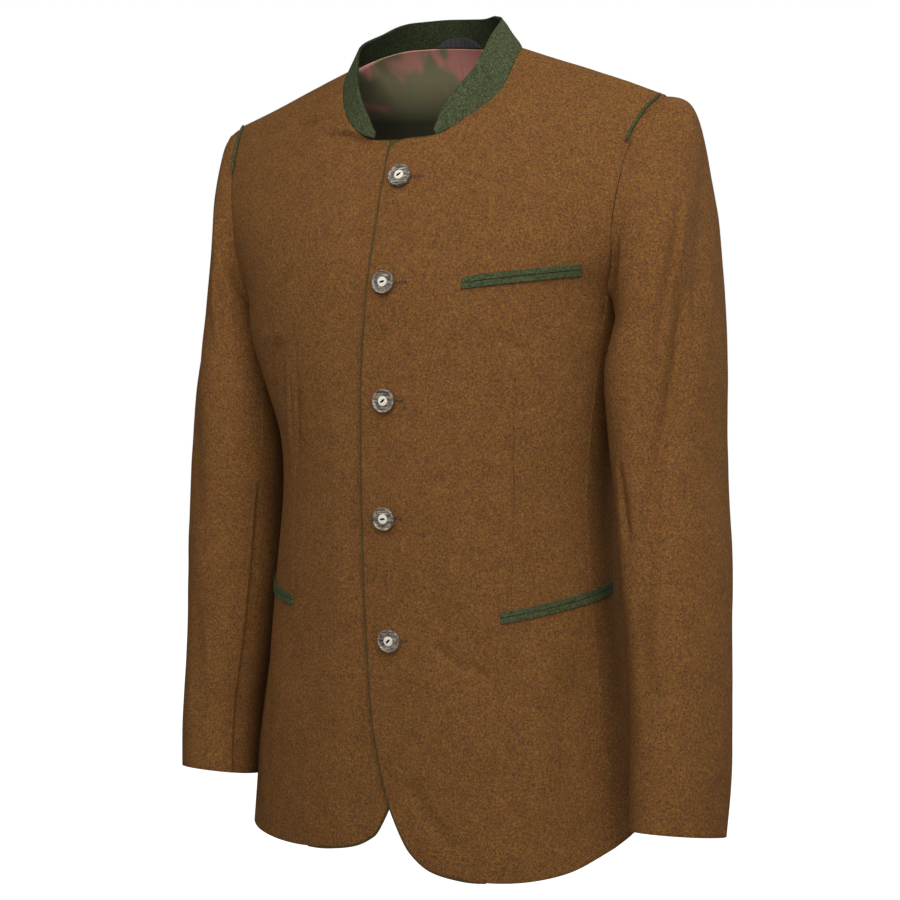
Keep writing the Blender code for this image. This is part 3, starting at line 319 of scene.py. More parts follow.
def milled_wool(name, warm, cold, fleck, nap, tint):
    """Milled wool, made once: its weave is felted over, so only clouds of dyed fibre and a soft nap show.

    warm and cold are the dark, middle and light fibres of the two blends that were carded together.
    """
    made = bpy.data.materials.get(name)
    if made:
        return made
    material, place = new_material(name)
    blends = []
    for seed, colours in enumerate((warm, cold)):
        clump = add_node(material, "TexNoise", {
            "Vector": place, "W": 3.7 * seed, "Scale": 1.0 / fleck, "Detail": 3.0, "Roughness": 0.7},
            noise_dimensions="4D")
        ramp = add_node(material, "ValToRGB", {"Fac": clump.outputs["Fac"]})
        set_stops(ramp, *zip((0.39, 0.50, 0.61), colours))
        blends.append(ramp.outputs["Color"])
    carded = add_node(material, "Mix", {0: 0.5, 6: blends[0], 7: blends[1]}, data_type="RGBA")
    # single fibres are far finer than this; under a millimetre is what still shows as a grain
    fibre = add_node(material, "TexNoise", {
        "Vector": place, "Scale": 1.0 / (0.8 * MM), "Detail": 3.0, "Roughness": 0.7})
    # a hand's breadth of cloth is never one even shade
    cloud = add_node(material, "TexNoise", {
        "Vector": place, "Scale": 1.0 / 0.018, "Detail": 3.0, "Roughness": 0.55})
    toned = carded.outputs[2]
    for source, dark, light in ((fibre, 0.74, 1.26), (cloud, 0.93, 1.07)):
        toned = shade_by(material, toned, source.outputs["Fac"], 0.3, 0.7, dark, light)
    mat = add_node(material, "TexNoise", {
        "Vector": place, "Scale": 1.0 / (3.5 * MM), "Detail": 2.0, "Roughness": 0.5})
    soft = add_node(material, "Bump", {
        "Height": mat.outputs["Fac"], "Strength": 0.30, "Distance": 0.6 * MM})
    rough = add_node(material, "Bump", {
        "Height": fibre.outputs["Fac"], "Strength": nap, "Distance": 0.3 * MM,
        "Normal": soft.outputs["Normal"]})
    return finish_material(material, {
        "Base Color": toned, "Roughness": 0.95, "Specular IOR Level": 0.12, "Sheen Weight": 0.07,
        "Sheen Roughness": 0.5, "Sheen Tint": tint, "Normal": rough.outputs["Normal"]})


def lining_satin():
    """Shot viscose satin: two weft colours, so it drifts from rose to olive; smooth and lightly glossy."""
    look = bpy.context.scene.jacket_lining
    material, place = new_material("shot_viscose_satin")
    parts = add_node(material, "SeparateXYZ", {"Vector": place})
    slant = add_node(material, "Mapping", {"Vector": place, "Scale": (1.0, 0.6, 0.45)})
    drift = add_node(material, "TexNoise", {
        "Vector": slant.outputs["Vector"], "Scale": 1.0 / 0.034, "Detail": 2.0, "Roughness": 0.5,
        "Distortion": 0.6})
    # the rose weft shows most to the wearer's left, as the cloth's face turns
    turned = add_node(material, "MapRange", {
        "Value": parts.outputs["X"], "From Min": -0.06, "From Max": 0.02, "To Min": -0.12,
        "To Max": 0.16})
    shot = add_node(material, "Math", {
        0: drift.outputs["Fac"], 1: turned.outputs["Result"]}, operation="ADD")
    hue = add_node(material, "ValToRGB", {"Fac": shot.outputs["Value"]})
    set_stops(hue, (0.42, look.olive), (0.58, look.rose), interpolation="EASE")
    # painted shade: the satin is darkened towards the bottom, down to 0.12 of its colour, for the shadow
    # inside the back below the neck
    toned = shade_by(material, hue.outputs["Color"], parts.outputs["Z"], -0.045, -0.005, 0.12, 1.0)
    # satin threads of a quarter millimetre are drawn at twice that, so that they show
    thread = add_node(material, "TexWave", {
        "Vector": place, "Scale": 1.0 / (0.5 * MM) / 20.0, "Distortion": 0.6}, wave_type="BANDS",
        bands_direction="X")
    ripple = add_node(material, "Bump", {
        "Height": thread.outputs["Fac"], "Strength": 0.06, "Distance": 0.1 * MM})
    return finish_material(material, {
        "Base Color": toned, "Roughness": 0.42, "Specular IOR Level": 0.45, "Sheen Weight": 0.15,
        "Sheen Roughness": 0.3, "Normal": ripple.outputs["Normal"]})


def streaked_horn():
    """Cut and polished horn: grey and tan layers run across the disc under a clear, waxed face."""
    look = bpy.context.scene.jacket_buttons
    material, place = new_material("polished_horn")
    along = add_node(material, "Mapping", {
        "Vector": place, "Scale": (0.22, 0.6, 1.0), "Rotation": (0.0, math.radians(9.0), 0.0)})
    layers = add_node(material, "TexNoise", {
        "Vector": along.outputs["Vector"], "Scale": 1.0 / (1.5 * MM), "Detail": 4.0, "Roughness": 0.62,
        "Distortion": 0.8})
    hue = add_node(material, "ValToRGB", {"Fac": layers.outputs["Fac"]})
    set_stops(hue, (0.34, look.dark), (0.46, look.grey), (0.55, look.tan), (0.68, look.light))
    scratch = add_node(material, "Bump", {
        "Height": layers.outputs["Fac"], "Strength": 0.12, "Distance": 0.1 * MM})
    return finish_material(material, {
        "Base Color": hue.outputs["Color"], "Roughness": 0.30, "IOR": 1.54, "Coat Weight": 0.35,
        "Coat Roughness": 0.12, "Normal": scratch.outputs["Normal"]})


def pale_bone():
    """Turned bone for the eye: cream, faintly grained, polished."""
    look = bpy.context.scene.jacket_buttons
    material, place = new_material("polished_bone")
    grain = add_node(material, "TexNoise", {"Vector": place, "Scale": 1.0 / (0.8 * MM), "Detail": 2.0})
    hue = add_node(material, "ValToRGB", {"Fac": grain.outputs["Fac"]})
    set_stops(hue, (0.35, linear("#E6E0CC")), (0.62, look.eye))
    return finish_material(material, {
        "Base Color": hue.outputs["Color"], "Roughness": 0.28, "IOR": 1.54, "Subsurface Weight": 0.08,
        "Subsurface Radius": (0.002, 0.0016, 0.0012)})


def spun_thread(name, colour):
    """Waxed sewing thread: a fine twist, dull with a slight gloss."""
    material, place = new_material(name)
    twist = add_node(material, "TexNoise", {
        "Vector": place, "Scale": 1.0 / (0.35 * MM), "Detail": 1.0}).outputs["Fac"]
    bump = add_node(material, "Bump", {"Height": twist, "Strength": 0.5, "Distance": 0.08 * MM})
    return finish_material(material, {
        "Base Color": shade_by(material, colour, twist, 0.35, 0.65, 0.75, 1.2), "Roughness": 0.7,
        "Specular IOR Level": 0.3, "Normal": bump.outputs["Normal"]})


def loop_tape():
    """Woven cotton tape for the hanger loop: close ribs across it, matt."""
    material, place = new_material("woven_cotton_tape")
    rib = add_node(material, "TexWave", {
        "Vector": place, "Scale": 1.0 / (0.8 * MM) / 20.0, "Distortion": 0.4}, wave_type="BANDS",
        bands_direction="X").outputs["Fac"]
    bump = add_node(material, "Bump", {"Height": rib, "Strength": 0.4, "Distance": 0.15 * MM})
    tape = bpy.context.scene.jacket_lining.tape
    return finish_material(material, {
        "Base Color": shade_by(material, tape, rib, 0.0, 1.0, 0.8, 1.1), "Roughness": 0.75,
        "Specular IOR Level": 0.3, "Normal": bump.outputs["Normal"]})


def painted_floor():
    """Matt painted studio floor with a faint roller stipple, lit so that it looks as white as the walls."""
    look = bpy.context.scene.jacket_stage
    material, place = new_material("matt_floor_paint")
    stipple = add_node(material, "TexNoise", {"Vector": place, "Scale": 140.0, "Detail": 2.0})
    bump = add_node(material, "Bump", {
        "Height": stipple.outputs["Fac"], "Strength": 0.05, "Distance": MM})
    seen = add_node(material, "LightPath").outputs["Is Camera Ray"]
    glow = add_node(material, "MapRange", {"Value": seen, "To Min": 0.0, "To Max": look.floor_glow})
    return finish_material(material, {
        "Base Color": look.floor, "Roughness": 0.9, "Specular IOR Level": 0.2,
        "Emission Color": look.sky, "Emission Strength": glow.outputs["Result"],
        "Normal": bump.outputs["Normal"]})


def loden():
    """The jacket's main cloth."""
    look = bpy.context.scene.jacket_cloth
    return milled_wool("melange_loden", (look.dark, look.ground, look.rust),
                       (look.violet, look.ground, look.olive), look.fleck, look.nap, linear("#B0763C"))


def green_loden():
    """The collar's and pockets' green cloth."""
    look = bpy.context.scene.jacket_trim
    fibres = (look.dark, look.ground, look.light)
    return milled_wool("green_melange_loden", fibres, fibres, look.fleck, look.nap, linear("#6F8564"))


def facing_loden():
    """The collar's inner side in a darker green: painted shade, for the shade inside the collar."""
    look = bpy.context.scene.jacket_trim
    fibres = (look.dark, look.facing, look.ground)
    return milled_wool("collar_facing_loden", fibres, fibres, look.fleck, look.nap, linear("#5C6E50"))


def piping_cloth():
    """Bias strip of the green cloth, drawn tight over its cord, so it looks darker and smoother."""
    look = bpy.context.scene.jacket_trim
    fibres = (look.dark, look.piping, look.piping)
    return milled_wool("green_piping", fibres, fibres, 1.1 * MM, 0.6 * look.nap, linear("#5C6E50"))


# ---------------- selecting and editing

def take(piece):
    """Makes piece the only selected object, and the active one."""
    if bpy.context.object and bpy.context.object.mode != "OBJECT":
        bpy.ops.object.mode_set(mode="OBJECT")
    bpy.ops.object.select_all(action="DESELECT")
    piece.select_set(True)
    bpy.context.view_layer.objects.active = piece


@contextmanager
def editing(piece):
    """Edit mode on one piece, with nothing selected at the start."""
    take(piece)
    bpy.ops.object.mode_set(mode="EDIT")
    bpy.ops.mesh.select_all(action="DESELECT")
    yield
    bpy.ops.object.mode_set(mode="OBJECT")


def select_faces(piece, test):
    """In edit mode, selects the faces whose centre and normal pass the test, and nothing else."""
    bpy.ops.mesh.select_mode(type="FACE")
    bpy.ops.mesh.select_all(action="DESELECT")
    mesh = bmesh.from_edit_mesh(piece.data)
    for face in mesh.faces:
        face.select_set(test(face.calc_center_median(), face.normal))
    bmesh.update_edit_mesh(piece.data)


def apply_modifier(piece, kind, **settings):
    """Adds a modifier, sets it and applies it."""
    take(piece)
    modifier = piece.modifiers.new(kind.title(), kind)
    for name, value in settings.items():
        setattr(modifier, name, value)
    bpy.ops.object.modifier_apply(modifier=modifier.name)


def smooth(piece, angle=SMOOTH_ANGLE):
    """Smooth shading, except over edges sharper than angle."""
    take(piece)
    bpy.ops.object.shade_smooth_by_angle(angle=angle)


def read_points(piece):
    """A mesh's points as an array of rows."""
    points = np.empty(len(piece.data.vertices) * 3)
    piece.data.vertices.foreach_get("co", points)
    return points.reshape(-1, 3)


def write_points(piece, points):
    """Puts the rows back into the mesh."""
    piece.data.vertices.foreach_set("co", points.ravel())
    piece.data.update()


# ---------------- how the cloth moves out of its solid's form

def sleeve_line(side):
    """The line down the middle of a sleeve: the middle of its solids' points, band by band."""
    parts = [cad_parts[f"sleeve_{part}_{side}"] for part in ("upper", "under")]
    points = np.vstack([read_points(part) for part in parts])
    edges = np.linspace(points[:, 2].max() - SLEEVE_LINE_TOP, points[:, 2].min(), SLEEVE_BANDS + 1)
    centres = []
    for high, low in zip(edges, edges[1:]):
        band = points[(points[:, 2] <= high) & (points[:, 2] >= low)]
        centres.append((band.max(axis=0) + band.min(axis=0)) / 2.0)
    return np.array(centres)


SLEEVE_LINES = {side: sleeve_line(side) for side in SIDES}


def nearest_on(path, points):
    """How far each point is from a path, the way from the path to it, and how far along it lies, up to 1."""
    apart = np.full(len(points), np.inf)
    away = np.zeros_like(points)
    along = np.zeros(len(points))
    for index, (start, end) in enumerate(zip(path, path[1:])):
        run = end - start
        share = np.clip((points - start) @ run / (run @ run), 0.0, 1.0)
        way = points - (start + share[:, None] * run)
        length = np.linalg.norm(way, axis=1)
        nearer = length < apart
        apart[nearer] = length[nearer]
        away[nearer] = way[nearer]
        along[nearer] = (index + share[nearer]) / (len(path) - 1)
    return apart, away, along


def body_outward(points):
    """Unit directions away from the body, for points of the body's cloth."""
    out = np.empty_like(points)
    out[:, 0] = points[:, 0] / BODY_HALF_WIDTH ** 2
    out[:, 1] = (points[:, 1] - BODY_CENTRE_DEPTH) / BODY_HALF_DEPTH ** 2
    out[:, 2] = np.clip((points[:, 2] - SHOULDER_START) / SHOULDER_RISE ** 2, 0.0, None)
    return out / np.linalg.norm(out, axis=1)[:, None]


def sleeve_outward(points, side):
    """Unit directions away from a sleeve's middle line."""
    apart, away, _ = nearest_on(SLEEVE_LINES[side], points)
    return away / apart[:, None]


def crease_depths(points):
    """How far the creases draw each point in, in metres."""
    drawn = np.zeros(len(points))
    share = np.linspace(0.0, 1.0, CREASE_STEPS + 1)[:, None]
    for *bends, depth, reach in CREASES.values():
        start, middle, end = np.array(bends) * MM
        span = CREASE_SPAN * reach * MM
        path = (start * (1 - share) * (1 - 2 * share) + middle * 4 * share * (1 - share)
                + end * share * (2 * share - 1))
        near = np.all((points > path.min(axis=0) - span) & (points < path.max(axis=0) + span), axis=1)
        if not near.any():
            continue
        apart, _, along = nearest_on(path, points[near])
        across = np.clip(apart / span, 0.0, 1.0)
        profile = (1.0 - across ** 2) ** 2 * (1.0 - CREASE_LIP * across ** 2)
        fade = np.clip(np.minimum(along, 1.0 - along) / CREASE_TAPER, 0.0, 1.0)
        fade = fade * fade * (3.0 - 2.0 * fade)
        drawn[near] += depth * MM * profile * fade
    return drawn


def swell_heights(points):
    """The slight unevenness of pressed wool, in metres."""
    lifted = np.zeros(len(points))
    for width, height, seed in SWELLS:
        shift = Vector((seed, -seed, 2.0 * seed))
        lifted += height * np.array([noise.noise(Vector(p) / width + shift) for p in points])
    return lifted


def move_cloth(points, outward, swells=1.0):
    """The points with the creases drawn in and the swells let out."""
    height = swells * swell_heights(points) - crease_depths(points)
    return points + outward * height[:, None]


def outward_for(name, points):
    """The outward directions that belong to a node's cloth."""
    for side in SIDES:
        if name.startswith("sleeve") and name.endswith(side):
            return sleeve_outward(points, side)
    return body_outward(points)


# ---------------- shells

def hold_places(piece, rounds=3):
    """Moves a piece's points until its smoothed form passes through the places where they started."""
    wanted = read_points(piece)
    for _ in range(rounds):
        smoothed = piece.evaluated_get(bpy.context.evaluated_depsgraph_get())
        reached = read_points(smoothed)[:len(wanted)]
        write_points(piece, read_points(piece) + wanted - reached)


def shell(node, material, levels=SHELL_LEVELS, swells=1.0, rounding=EDGE_ROUND):
    """A cloth shell on a node's walls: welded, finer, creased, worn round at its cut edges, and finished."""
    piece = bpy.data.objects.new(f"{node}_cloth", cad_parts[node].data.copy())
    piece.data.materials.clear()
    bpy.context.scene.collection.objects.link(piece)
    with editing(piece):
        bpy.ops.mesh.select_all(action="SELECT")
        bpy.ops.mesh.remove_doubles(threshold=WELD)
        bpy.ops.mesh.tris_convert_to_quads(face_threshold=QUAD_BEND, shape_threshold=math.pi)
        bpy.ops.mesh.select_all(action="DESELECT")
        bpy.ops.mesh.select_mode(type="EDGE")
        bpy.ops.mesh.edges_select_sharp(sharpness=CUT_EDGE_ANGLE)
        bpy.ops.transform.edge_crease(value=1.0)
    finer = piece.modifiers.new("Finer", "SUBSURF")
    finer.levels = levels
    finer.render_levels = levels
    hold_places(piece)
    take(piece)
    bpy.ops.object.modifier_apply(modifier=finer.name)
    points = read_points(piece)
    write_points(piece, move_cloth(points, outward_for(node, points), swells))
    if rounding:
        apply_modifier(piece, "BEVEL", limit_method="ANGLE", angle_limit=CUT_EDGE_ANGLE, width=rounding,
                       segments=2, use_clamp_overlap=True)
    smooth(piece)
    piece.data.materials.append(material)
    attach(piece, "root")
    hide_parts(node)
    return piece


def shell_of(node):
    """The cloth shell that was made on a node."""
    return bpy.data.objects[f"{node}_cloth"]


def press_dart(piece, dart):
    """Cuts the cloth three times along a dart, and moves the middle cut, its stitched line, by its depth."""
    top = Vector((dart.across_top, 0.0, dart.top))
    run = Vector((dart.across_low, 0.0, dart.low)) - top
    length = run.length
    run.normalize()
    across = Vector((run.z, 0.0, -run.x))
    for step in (-1, 0, 1):
        with editing(piece):
            bpy.ops.mesh.select_all(action="SELECT")
            bpy.ops.mesh.bisect(plane_co=top + across * (step * DART_HALF), plane_no=across)
    points = read_points(piece)
    from_top = points - np.array(top)
    share = from_top @ np.array(run) / length
    fade = np.clip(np.minimum(share, 1.0) / (dart.fade / length), 0.0, 1.0)
    inside = (np.abs(from_top @ np.array(across)) < DART_STITCH) & (share > 0.0) & (share < 1.0)
    points[inside, 1] += dart.depth * fade[inside]
    write_points(piece, points)


def surface_of(piece):
    """A tree for finding places on a piece's surface."""
    mesh = bmesh.new()
    mesh.from_mesh(piece.data)
    tree = BVHTree.FromBMesh(mesh)
    mesh.free()
    return tree


def draw_up(piece, cloth):
    """Draws a piping sideways against its cloth until only SEAM_REST is left between the two."""
    tree = surface_of(cloth)
    points = read_points(piece)
    nearest = [tree.find_nearest(Vector(point)) for point in points]
    apart = np.array([found[3] for found in nearest])
    reach = KDTree(len(points))
    for index, point in enumerate(points):
        reach.insert(point, index)
    reach.balance()
    around = [reach.find_range(point, PIPING_REACH) for point in points]
    gaps = np.array([min(apart[near[1]] for near in found) for found in around])
    toward = (np.array([found[0] for found in nearest]) - points) / apart[:, None]
    write_points(piece, points + toward * np.clip(gaps - SEAM_REST, 0.0, None)[:, None])


def clear_of(piece, neighbour):
    """Puts the points of a piece that lie in or against its neighbour at SEAM_REST from it."""
    tree = surface_of(neighbour)
    points = read_points(piece)
    for index, point in enumerate(points):
        place, normal, _, apart = tree.find_nearest(Vector(point), SEAM_REACH)
        if place is None:
            continue
        away = Vector(point) - place
        if away.dot(normal) < 0.0:
            points[index] = place + normal * SEAM_REST
        elif apart < SEAM_CLOSE:
            points[index] = place + away.normalized() * SEAM_REST
    write_points(piece, points)


def seat_by(tree, node, across=0.0, rise=0.0):
    """The seat on the front's cloth beside a button's middle: its place, with Z turned along the normal."""
    low, high = (Vector(corner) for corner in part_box(node))
    start = (low + high) / 2.0 + Vector((across, 0.0, rise))
    start.y = FRONT_VIEW
    place, normal, _, _ = tree.ray_cast(start, Vector((0.0, 1.0, 0.0)))
    if place is None:
        raise RuntimeError(f"no cloth behind {node}")
    return Matrix.Translation(place) @ normal.to_track_quat("Z", "Y").to_matrix().to_4x4()


# ---------------- properties

def colour_property(name, hex_colour, description):
    """A colour that a user may change."""
    return bpy.props.FloatVectorProperty(name=name, description=description, subtype="COLOR", size=4,
                                         min=0.0, max=1.0, default=linear(hex_colour))


def length_property(name, metres, description):
    """A length that a user may change."""
    return bpy.props.FloatProperty(name=name, description=description, subtype="DISTANCE", unit="LENGTH",
                                   min=0.0, precision=5, default=metres)


def amount_property(name, amount, description, **kind):
    """A share, a strength or a power that a user may change."""
    return bpy.props.FloatProperty(name=name, description=description, min=0.0, default=amount, **kind)


class JacketCloth(bpy.types.PropertyGroup):
    """The brown loden."""

    ground: colour_property("Ground", "#774E27", "Main fibre of the brown cloth")
    rust: colour_property("Rust fibre", "#A3652A", "Warm fibre carded into the cloth")
    olive: colour_property("Olive fibre", "#86713E", "Greenish fibre carded into the cloth")
    dark: colour_property("Dark fibre", "#462A12", "Darkest fibre in the cloth")
    violet: colour_property("Violet fibre", "#624640", "Greyed violet fibre in the cloth")
    fleck: length_property("Fleck", 1.7 * MM, "Size of one clump of dyed fibre")
    nap: amount_property("Nap", 0.45, "Height of the felted face", max=1.0, subtype="FACTOR")


class JacketTrim(bpy.types.PropertyGroup):
    """The green loden and its piping."""

    ground: colour_property("Ground", "#464E34", "Main fibre of the green cloth")
    light: colour_property("Light fibre", "#62694A", "Pale fibre in the green cloth")
    dark: colour_property("Dark fibre", "#2C321D", "Dark fibre in the green cloth")
    # painted shade: a darker green for the collar's inner side, standing in for the shade inside the collar
    facing: colour_property("Collar facing", "#252B1C", "Inner side of the collar, never faded by light")
    piping: colour_property("Piping", "#5A4C2C", "Bias strip along the edges")
    fleck: length_property("Fleck", 1.7 * MM, "Size of one fleck of dyed fibre")
    nap: amount_property("Nap", 0.50, "Height of the felted face", max=1.0, subtype="FACTOR")


class JacketLining(bpy.types.PropertyGroup):
    """The lining and the hanger loop."""

    rose: colour_property("Rose", "#EBA094", "First colour of the shot satin")
    olive: colour_property("Olive", "#9A9570", "Second colour of the shot satin")
    tape: colour_property("Tape", "#3D3B3F", "Hanger loop")


class JacketButtons(bpy.types.PropertyGroup):
    """The horn buttons."""

    dark: colour_property("Dark layer", "#242528", "Darkest layer of the horn")
    grey: colour_property("Grey layer", "#5C5E64", "Grey layer of the horn")
    tan: colour_property("Tan layer", "#967E58", "Warm layer of the horn")
    light: colour_property("Light layer", "#D2CDC0", "Palest layer of the horn")
    eye: colour_property("Eye", "#FFFAEC", "Bone eye in the middle of the face")
    # painted shade: a near-black for the walls and floor of each button's slot, standing in for the shade
    # deep in the slot
    slot: colour_property("Slot", "#080706", "Thread deep in the slot")
    thread: colour_property("Buttonhole thread", "#4A3A34", "Silk twist round each buttonhole")


class JacketStage(bpy.types.PropertyGroup):
    """Floor and light."""

    floor: colour_property("Floor", "#8E8C88", "Studio floor")
    sky: colour_property("Surroundings", "#FFFFFF", "Light from all round")
    floor_glow: amount_property("Floor glow", 1.10, "Lifts the floor to the walls' white")
    sky_strength: amount_property("Surroundings strength", 0.12, "Light from all round")
    key_power: amount_property("Key light", 41.5, "Main light", unit="POWER")
    fill_power: amount_property("Fill light", 4.0, "Side light", unit="POWER")
    top_power: amount_property("Top light", 2.4, "Light from above", unit="POWER")
    back_power: amount_property("Back light", 17.0, "Light behind", unit="POWER")


# ---------------- operators

class JACKET_OT_body(bpy.types.Operator):
    """Makes the fronts, sides and back in brown loden"""

    bl_idname = "jacket.body"
    bl_label = "Body"

    def execute(self, context):
        for side in SIDES:
            shell(f"front_{side}", loden(), levels=FINE_LEVELS)
            shell(f"side_{side}", loden())
        shell("back", loden())
        return {"FINISHED"}


class JACKET_OT_sleeves(bpy.types.Operator):
    """Makes the two-piece sleeves in brown loden"""

    bl_idname = "jacket.sleeves"
    bl_label = "Sleeves"

    def execute(self, context):
        for side in SIDES:
            shell(f"sleeve_upper_{side}", loden(), levels=FINE_LEVELS)
            shell(f"sleeve_under_{side}", loden())
        return {"FINISHED"}


class JACKET_OT_collar(bpy.types.Operator):
    """Makes the stand collar in green loden"""

    bl_idname = "jacket.collar"
    bl_label = "Collar"

    def execute(self, context):
        collar = shell("collar", green_loden(), swells=0.5)
        collar.data.materials.append(facing_loden())
        centre = sum((Vector(corner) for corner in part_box("collar")), Vector()) / 2.0
        # faces turned inwards take the darker green: painted shade inside the collar
        for face in collar.data.polygons:
            inward = centre - face.center
            inward.z = 0.0
            face.material_index = 1 if face.normal.dot(inward.normalized()) > FACING_TURN else 0
        return {"FINISHED"}


class JACKET_OT_welts(bpy.types.Operator):
    """Makes the pocket welts in green loden"""

    bl_idname = "jacket.welts"
    bl_label = "Pocket welts"

    def execute(self, context):
        for pocket in ("breast_welt", "hip_welt_left", "hip_welt_right"):
            for strip in ("upper", "lower"):
                shell(f"{pocket}_{strip}", green_loden())
        return {"FINISHED"}


class JACKET_OT_piping(bpy.types.Operator):
    """Makes the piping of the front edges and sleeve heads"""

    bl_idname = "jacket.piping"
    bl_label = "Piping"

    def execute(self, context):
        for side in SIDES:
            edge = shell(f"edge_piping_{side}", piping_cloth(), rounding=0.0)
            draw_up(edge, shell_of(f"front_{side}"))
            shell(f"sleeve_head_piping_{side}", green_loden(), rounding=0.0)
        return {"FINISHED"}


class JACKET_OT_lining(bpy.types.Operator):
    """Makes the back lining in satin, and the hanger loop"""

    bl_idname = "jacket.lining"
    bl_label = "Lining and loop"

    def execute(self, context):
        shell("back_lining", lining_satin(), rounding=0.0)
        shell("hanger_loop", loop_tape(), swells=0.0, rounding=TAPE_ROUND)
        return {"FINISHED"}


class JACKET_OT_seams(bpy.types.Operator):
    """Presses the darts and the pleat, and parts the cloth where smoothing pushed it into its neighbour"""

    bl_idname = "jacket.seams"
    bl_label = "Seams and darts"

    def execute(self, context):
        for dart in DARTS:
            press_dart(shell_of(dart.node), dart)
        for node, neighbours in SEAMS:
            # a piece in the middle is pressed once
            for side in SIDES if "{}" in node else SIDES[:1]:
                for neighbour in neighbours:
                    clear_of(shell_of(node.format(side)), shell_of(neighbour.format(side)))
        return {"FINISHED"}


class JACKET_OT_buttons(bpy.types.Operator):
    """Turns the horn buttons and sets them on the left front"""

    bl_idname = "jacket.buttons"
    bl_label = "Buttons"

    def cylinder(self, sides, radius, low, high):
        """A cylinder round Z between two heights, with its place in its mesh."""
        bpy.ops.mesh.primitive_cylinder_add(vertices=sides, radius=radius, depth=high - low,
                                            location=(0.0, 0.0, (low + high) / 2.0))
        bpy.ops.object.transform_apply(location=True)
        return bpy.context.object

    def disc(self):
        """The horn disc with its rim, dish and shank, facing up Z, its foot at zero."""
        disc = self.cylinder(BUTTON_SIDES, BUTTON_RADIUS, BUTTON_TOP - BUTTON_BODY, BUTTON_TOP)
        with editing(disc):
            select_faces(disc, lambda centre, normal: normal.z > LEVEL)
            bpy.ops.mesh.inset(thickness=BUTTON_RIM)
            bpy.ops.mesh.inset(thickness=BUTTON_SLOPE)
            bpy.ops.transform.translate(value=(0.0, 0.0, -BUTTON_DISH))
            select_faces(disc, lambda centre, normal: normal.z < -LEVEL)
            bpy.ops.mesh.inset(thickness=BUTTON_RADIUS - SHANK_RADIUS)
            bpy.ops.mesh.extrude_region_move(
                TRANSFORM_OT_translate={"value": (0.0, 0.0, BUTTON_BODY - BUTTON_TOP)})
        return disc

    def eye(self):
        """The bone eye with its slot, facing up Z."""
        eye = self.cylinder(EYE_SIDES, EYE_RADIUS, EYE_LEVEL, EYE_LEVEL + EYE_RISE)
        inner = EYE_RADIUS - EYE_RIM - EYE_FLAT
        with editing(eye):
            select_faces(eye, lambda centre, normal: normal.z > LEVEL)
            bpy.ops.mesh.inset(thickness=EYE_RIM)
            bpy.ops.transform.translate(value=(0.0, 0.0, EYE_DOME))
            bpy.ops.mesh.inset(thickness=EYE_FLAT)
            bpy.ops.transform.resize(value=(SLOT_LENGTH / 2.0 / inner, SLOT_WIDTH / 2.0 / inner, 1.0),
                                     center_override=(0.0, 0.0, 0.0))
            bpy.ops.mesh.extrude_region_move(TRANSFORM_OT_translate={"value": (0.0, 0.0, -SLOT_DEPTH)})
        return eye

    def execute(self, context):
        disc, eye = self.disc(), self.eye()
        apply_modifier(disc, "BEVEL", limit_method="ANGLE", angle_limit=BUTTON_EDGE, width=BUTTON_BEVEL,
                       segments=3)
        # the slot's walls and floor take a near-black thread material: painted shade deep in the slot
        dark = spun_thread("waxed_thread_dark", context.scene.jacket_buttons.slot)
        for piece, materials in ((disc, [streaked_horn()]), (eye, [pale_bone(), dark])):
            smooth(piece, SMALL_ANGLE)
            piece.data.materials.clear()
            for material in materials:
                piece.data.materials.append(material)
        slot_top = EYE_LEVEL + EYE_RISE + EYE_DOME - SLOT_LIP
        # the faces inside the slot, walls and floor, take the near-black: painted shade
        for face in eye.data.polygons:
            x, y, z = face.center
            in_slot = abs(x) < SLOT_LENGTH / 2.0 + WELD and abs(y) < SLOT_WIDTH / 2.0 + WELD
            face.material_index = 1 if in_slot and EYE_LEVEL + WELD < z < slot_top else 0
        cloth = surface_of(shell_of("front_left"))
        for button in BUTTONS:
            seat = seat_by(cloth, button.node) @ Matrix.Translation((0.0, 0.0, BUTTON_LIFT))
            for start, part, turn in ((disc, "disc", 0.0), (eye, "eye", button.turn)):
                copy = bpy.data.objects.new(f"{button.node}_{part}", start.data.copy())
                context.scene.collection.objects.link(copy)
                copy.data.transform(seat @ Matrix.Rotation(math.radians(turn), 4, "Z"))
                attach(copy, "root")
                if part == "disc":
                    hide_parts(button.node)
        for start in (disc, eye):
            bpy.data.objects.remove(start)
        return {"FINISHED"}


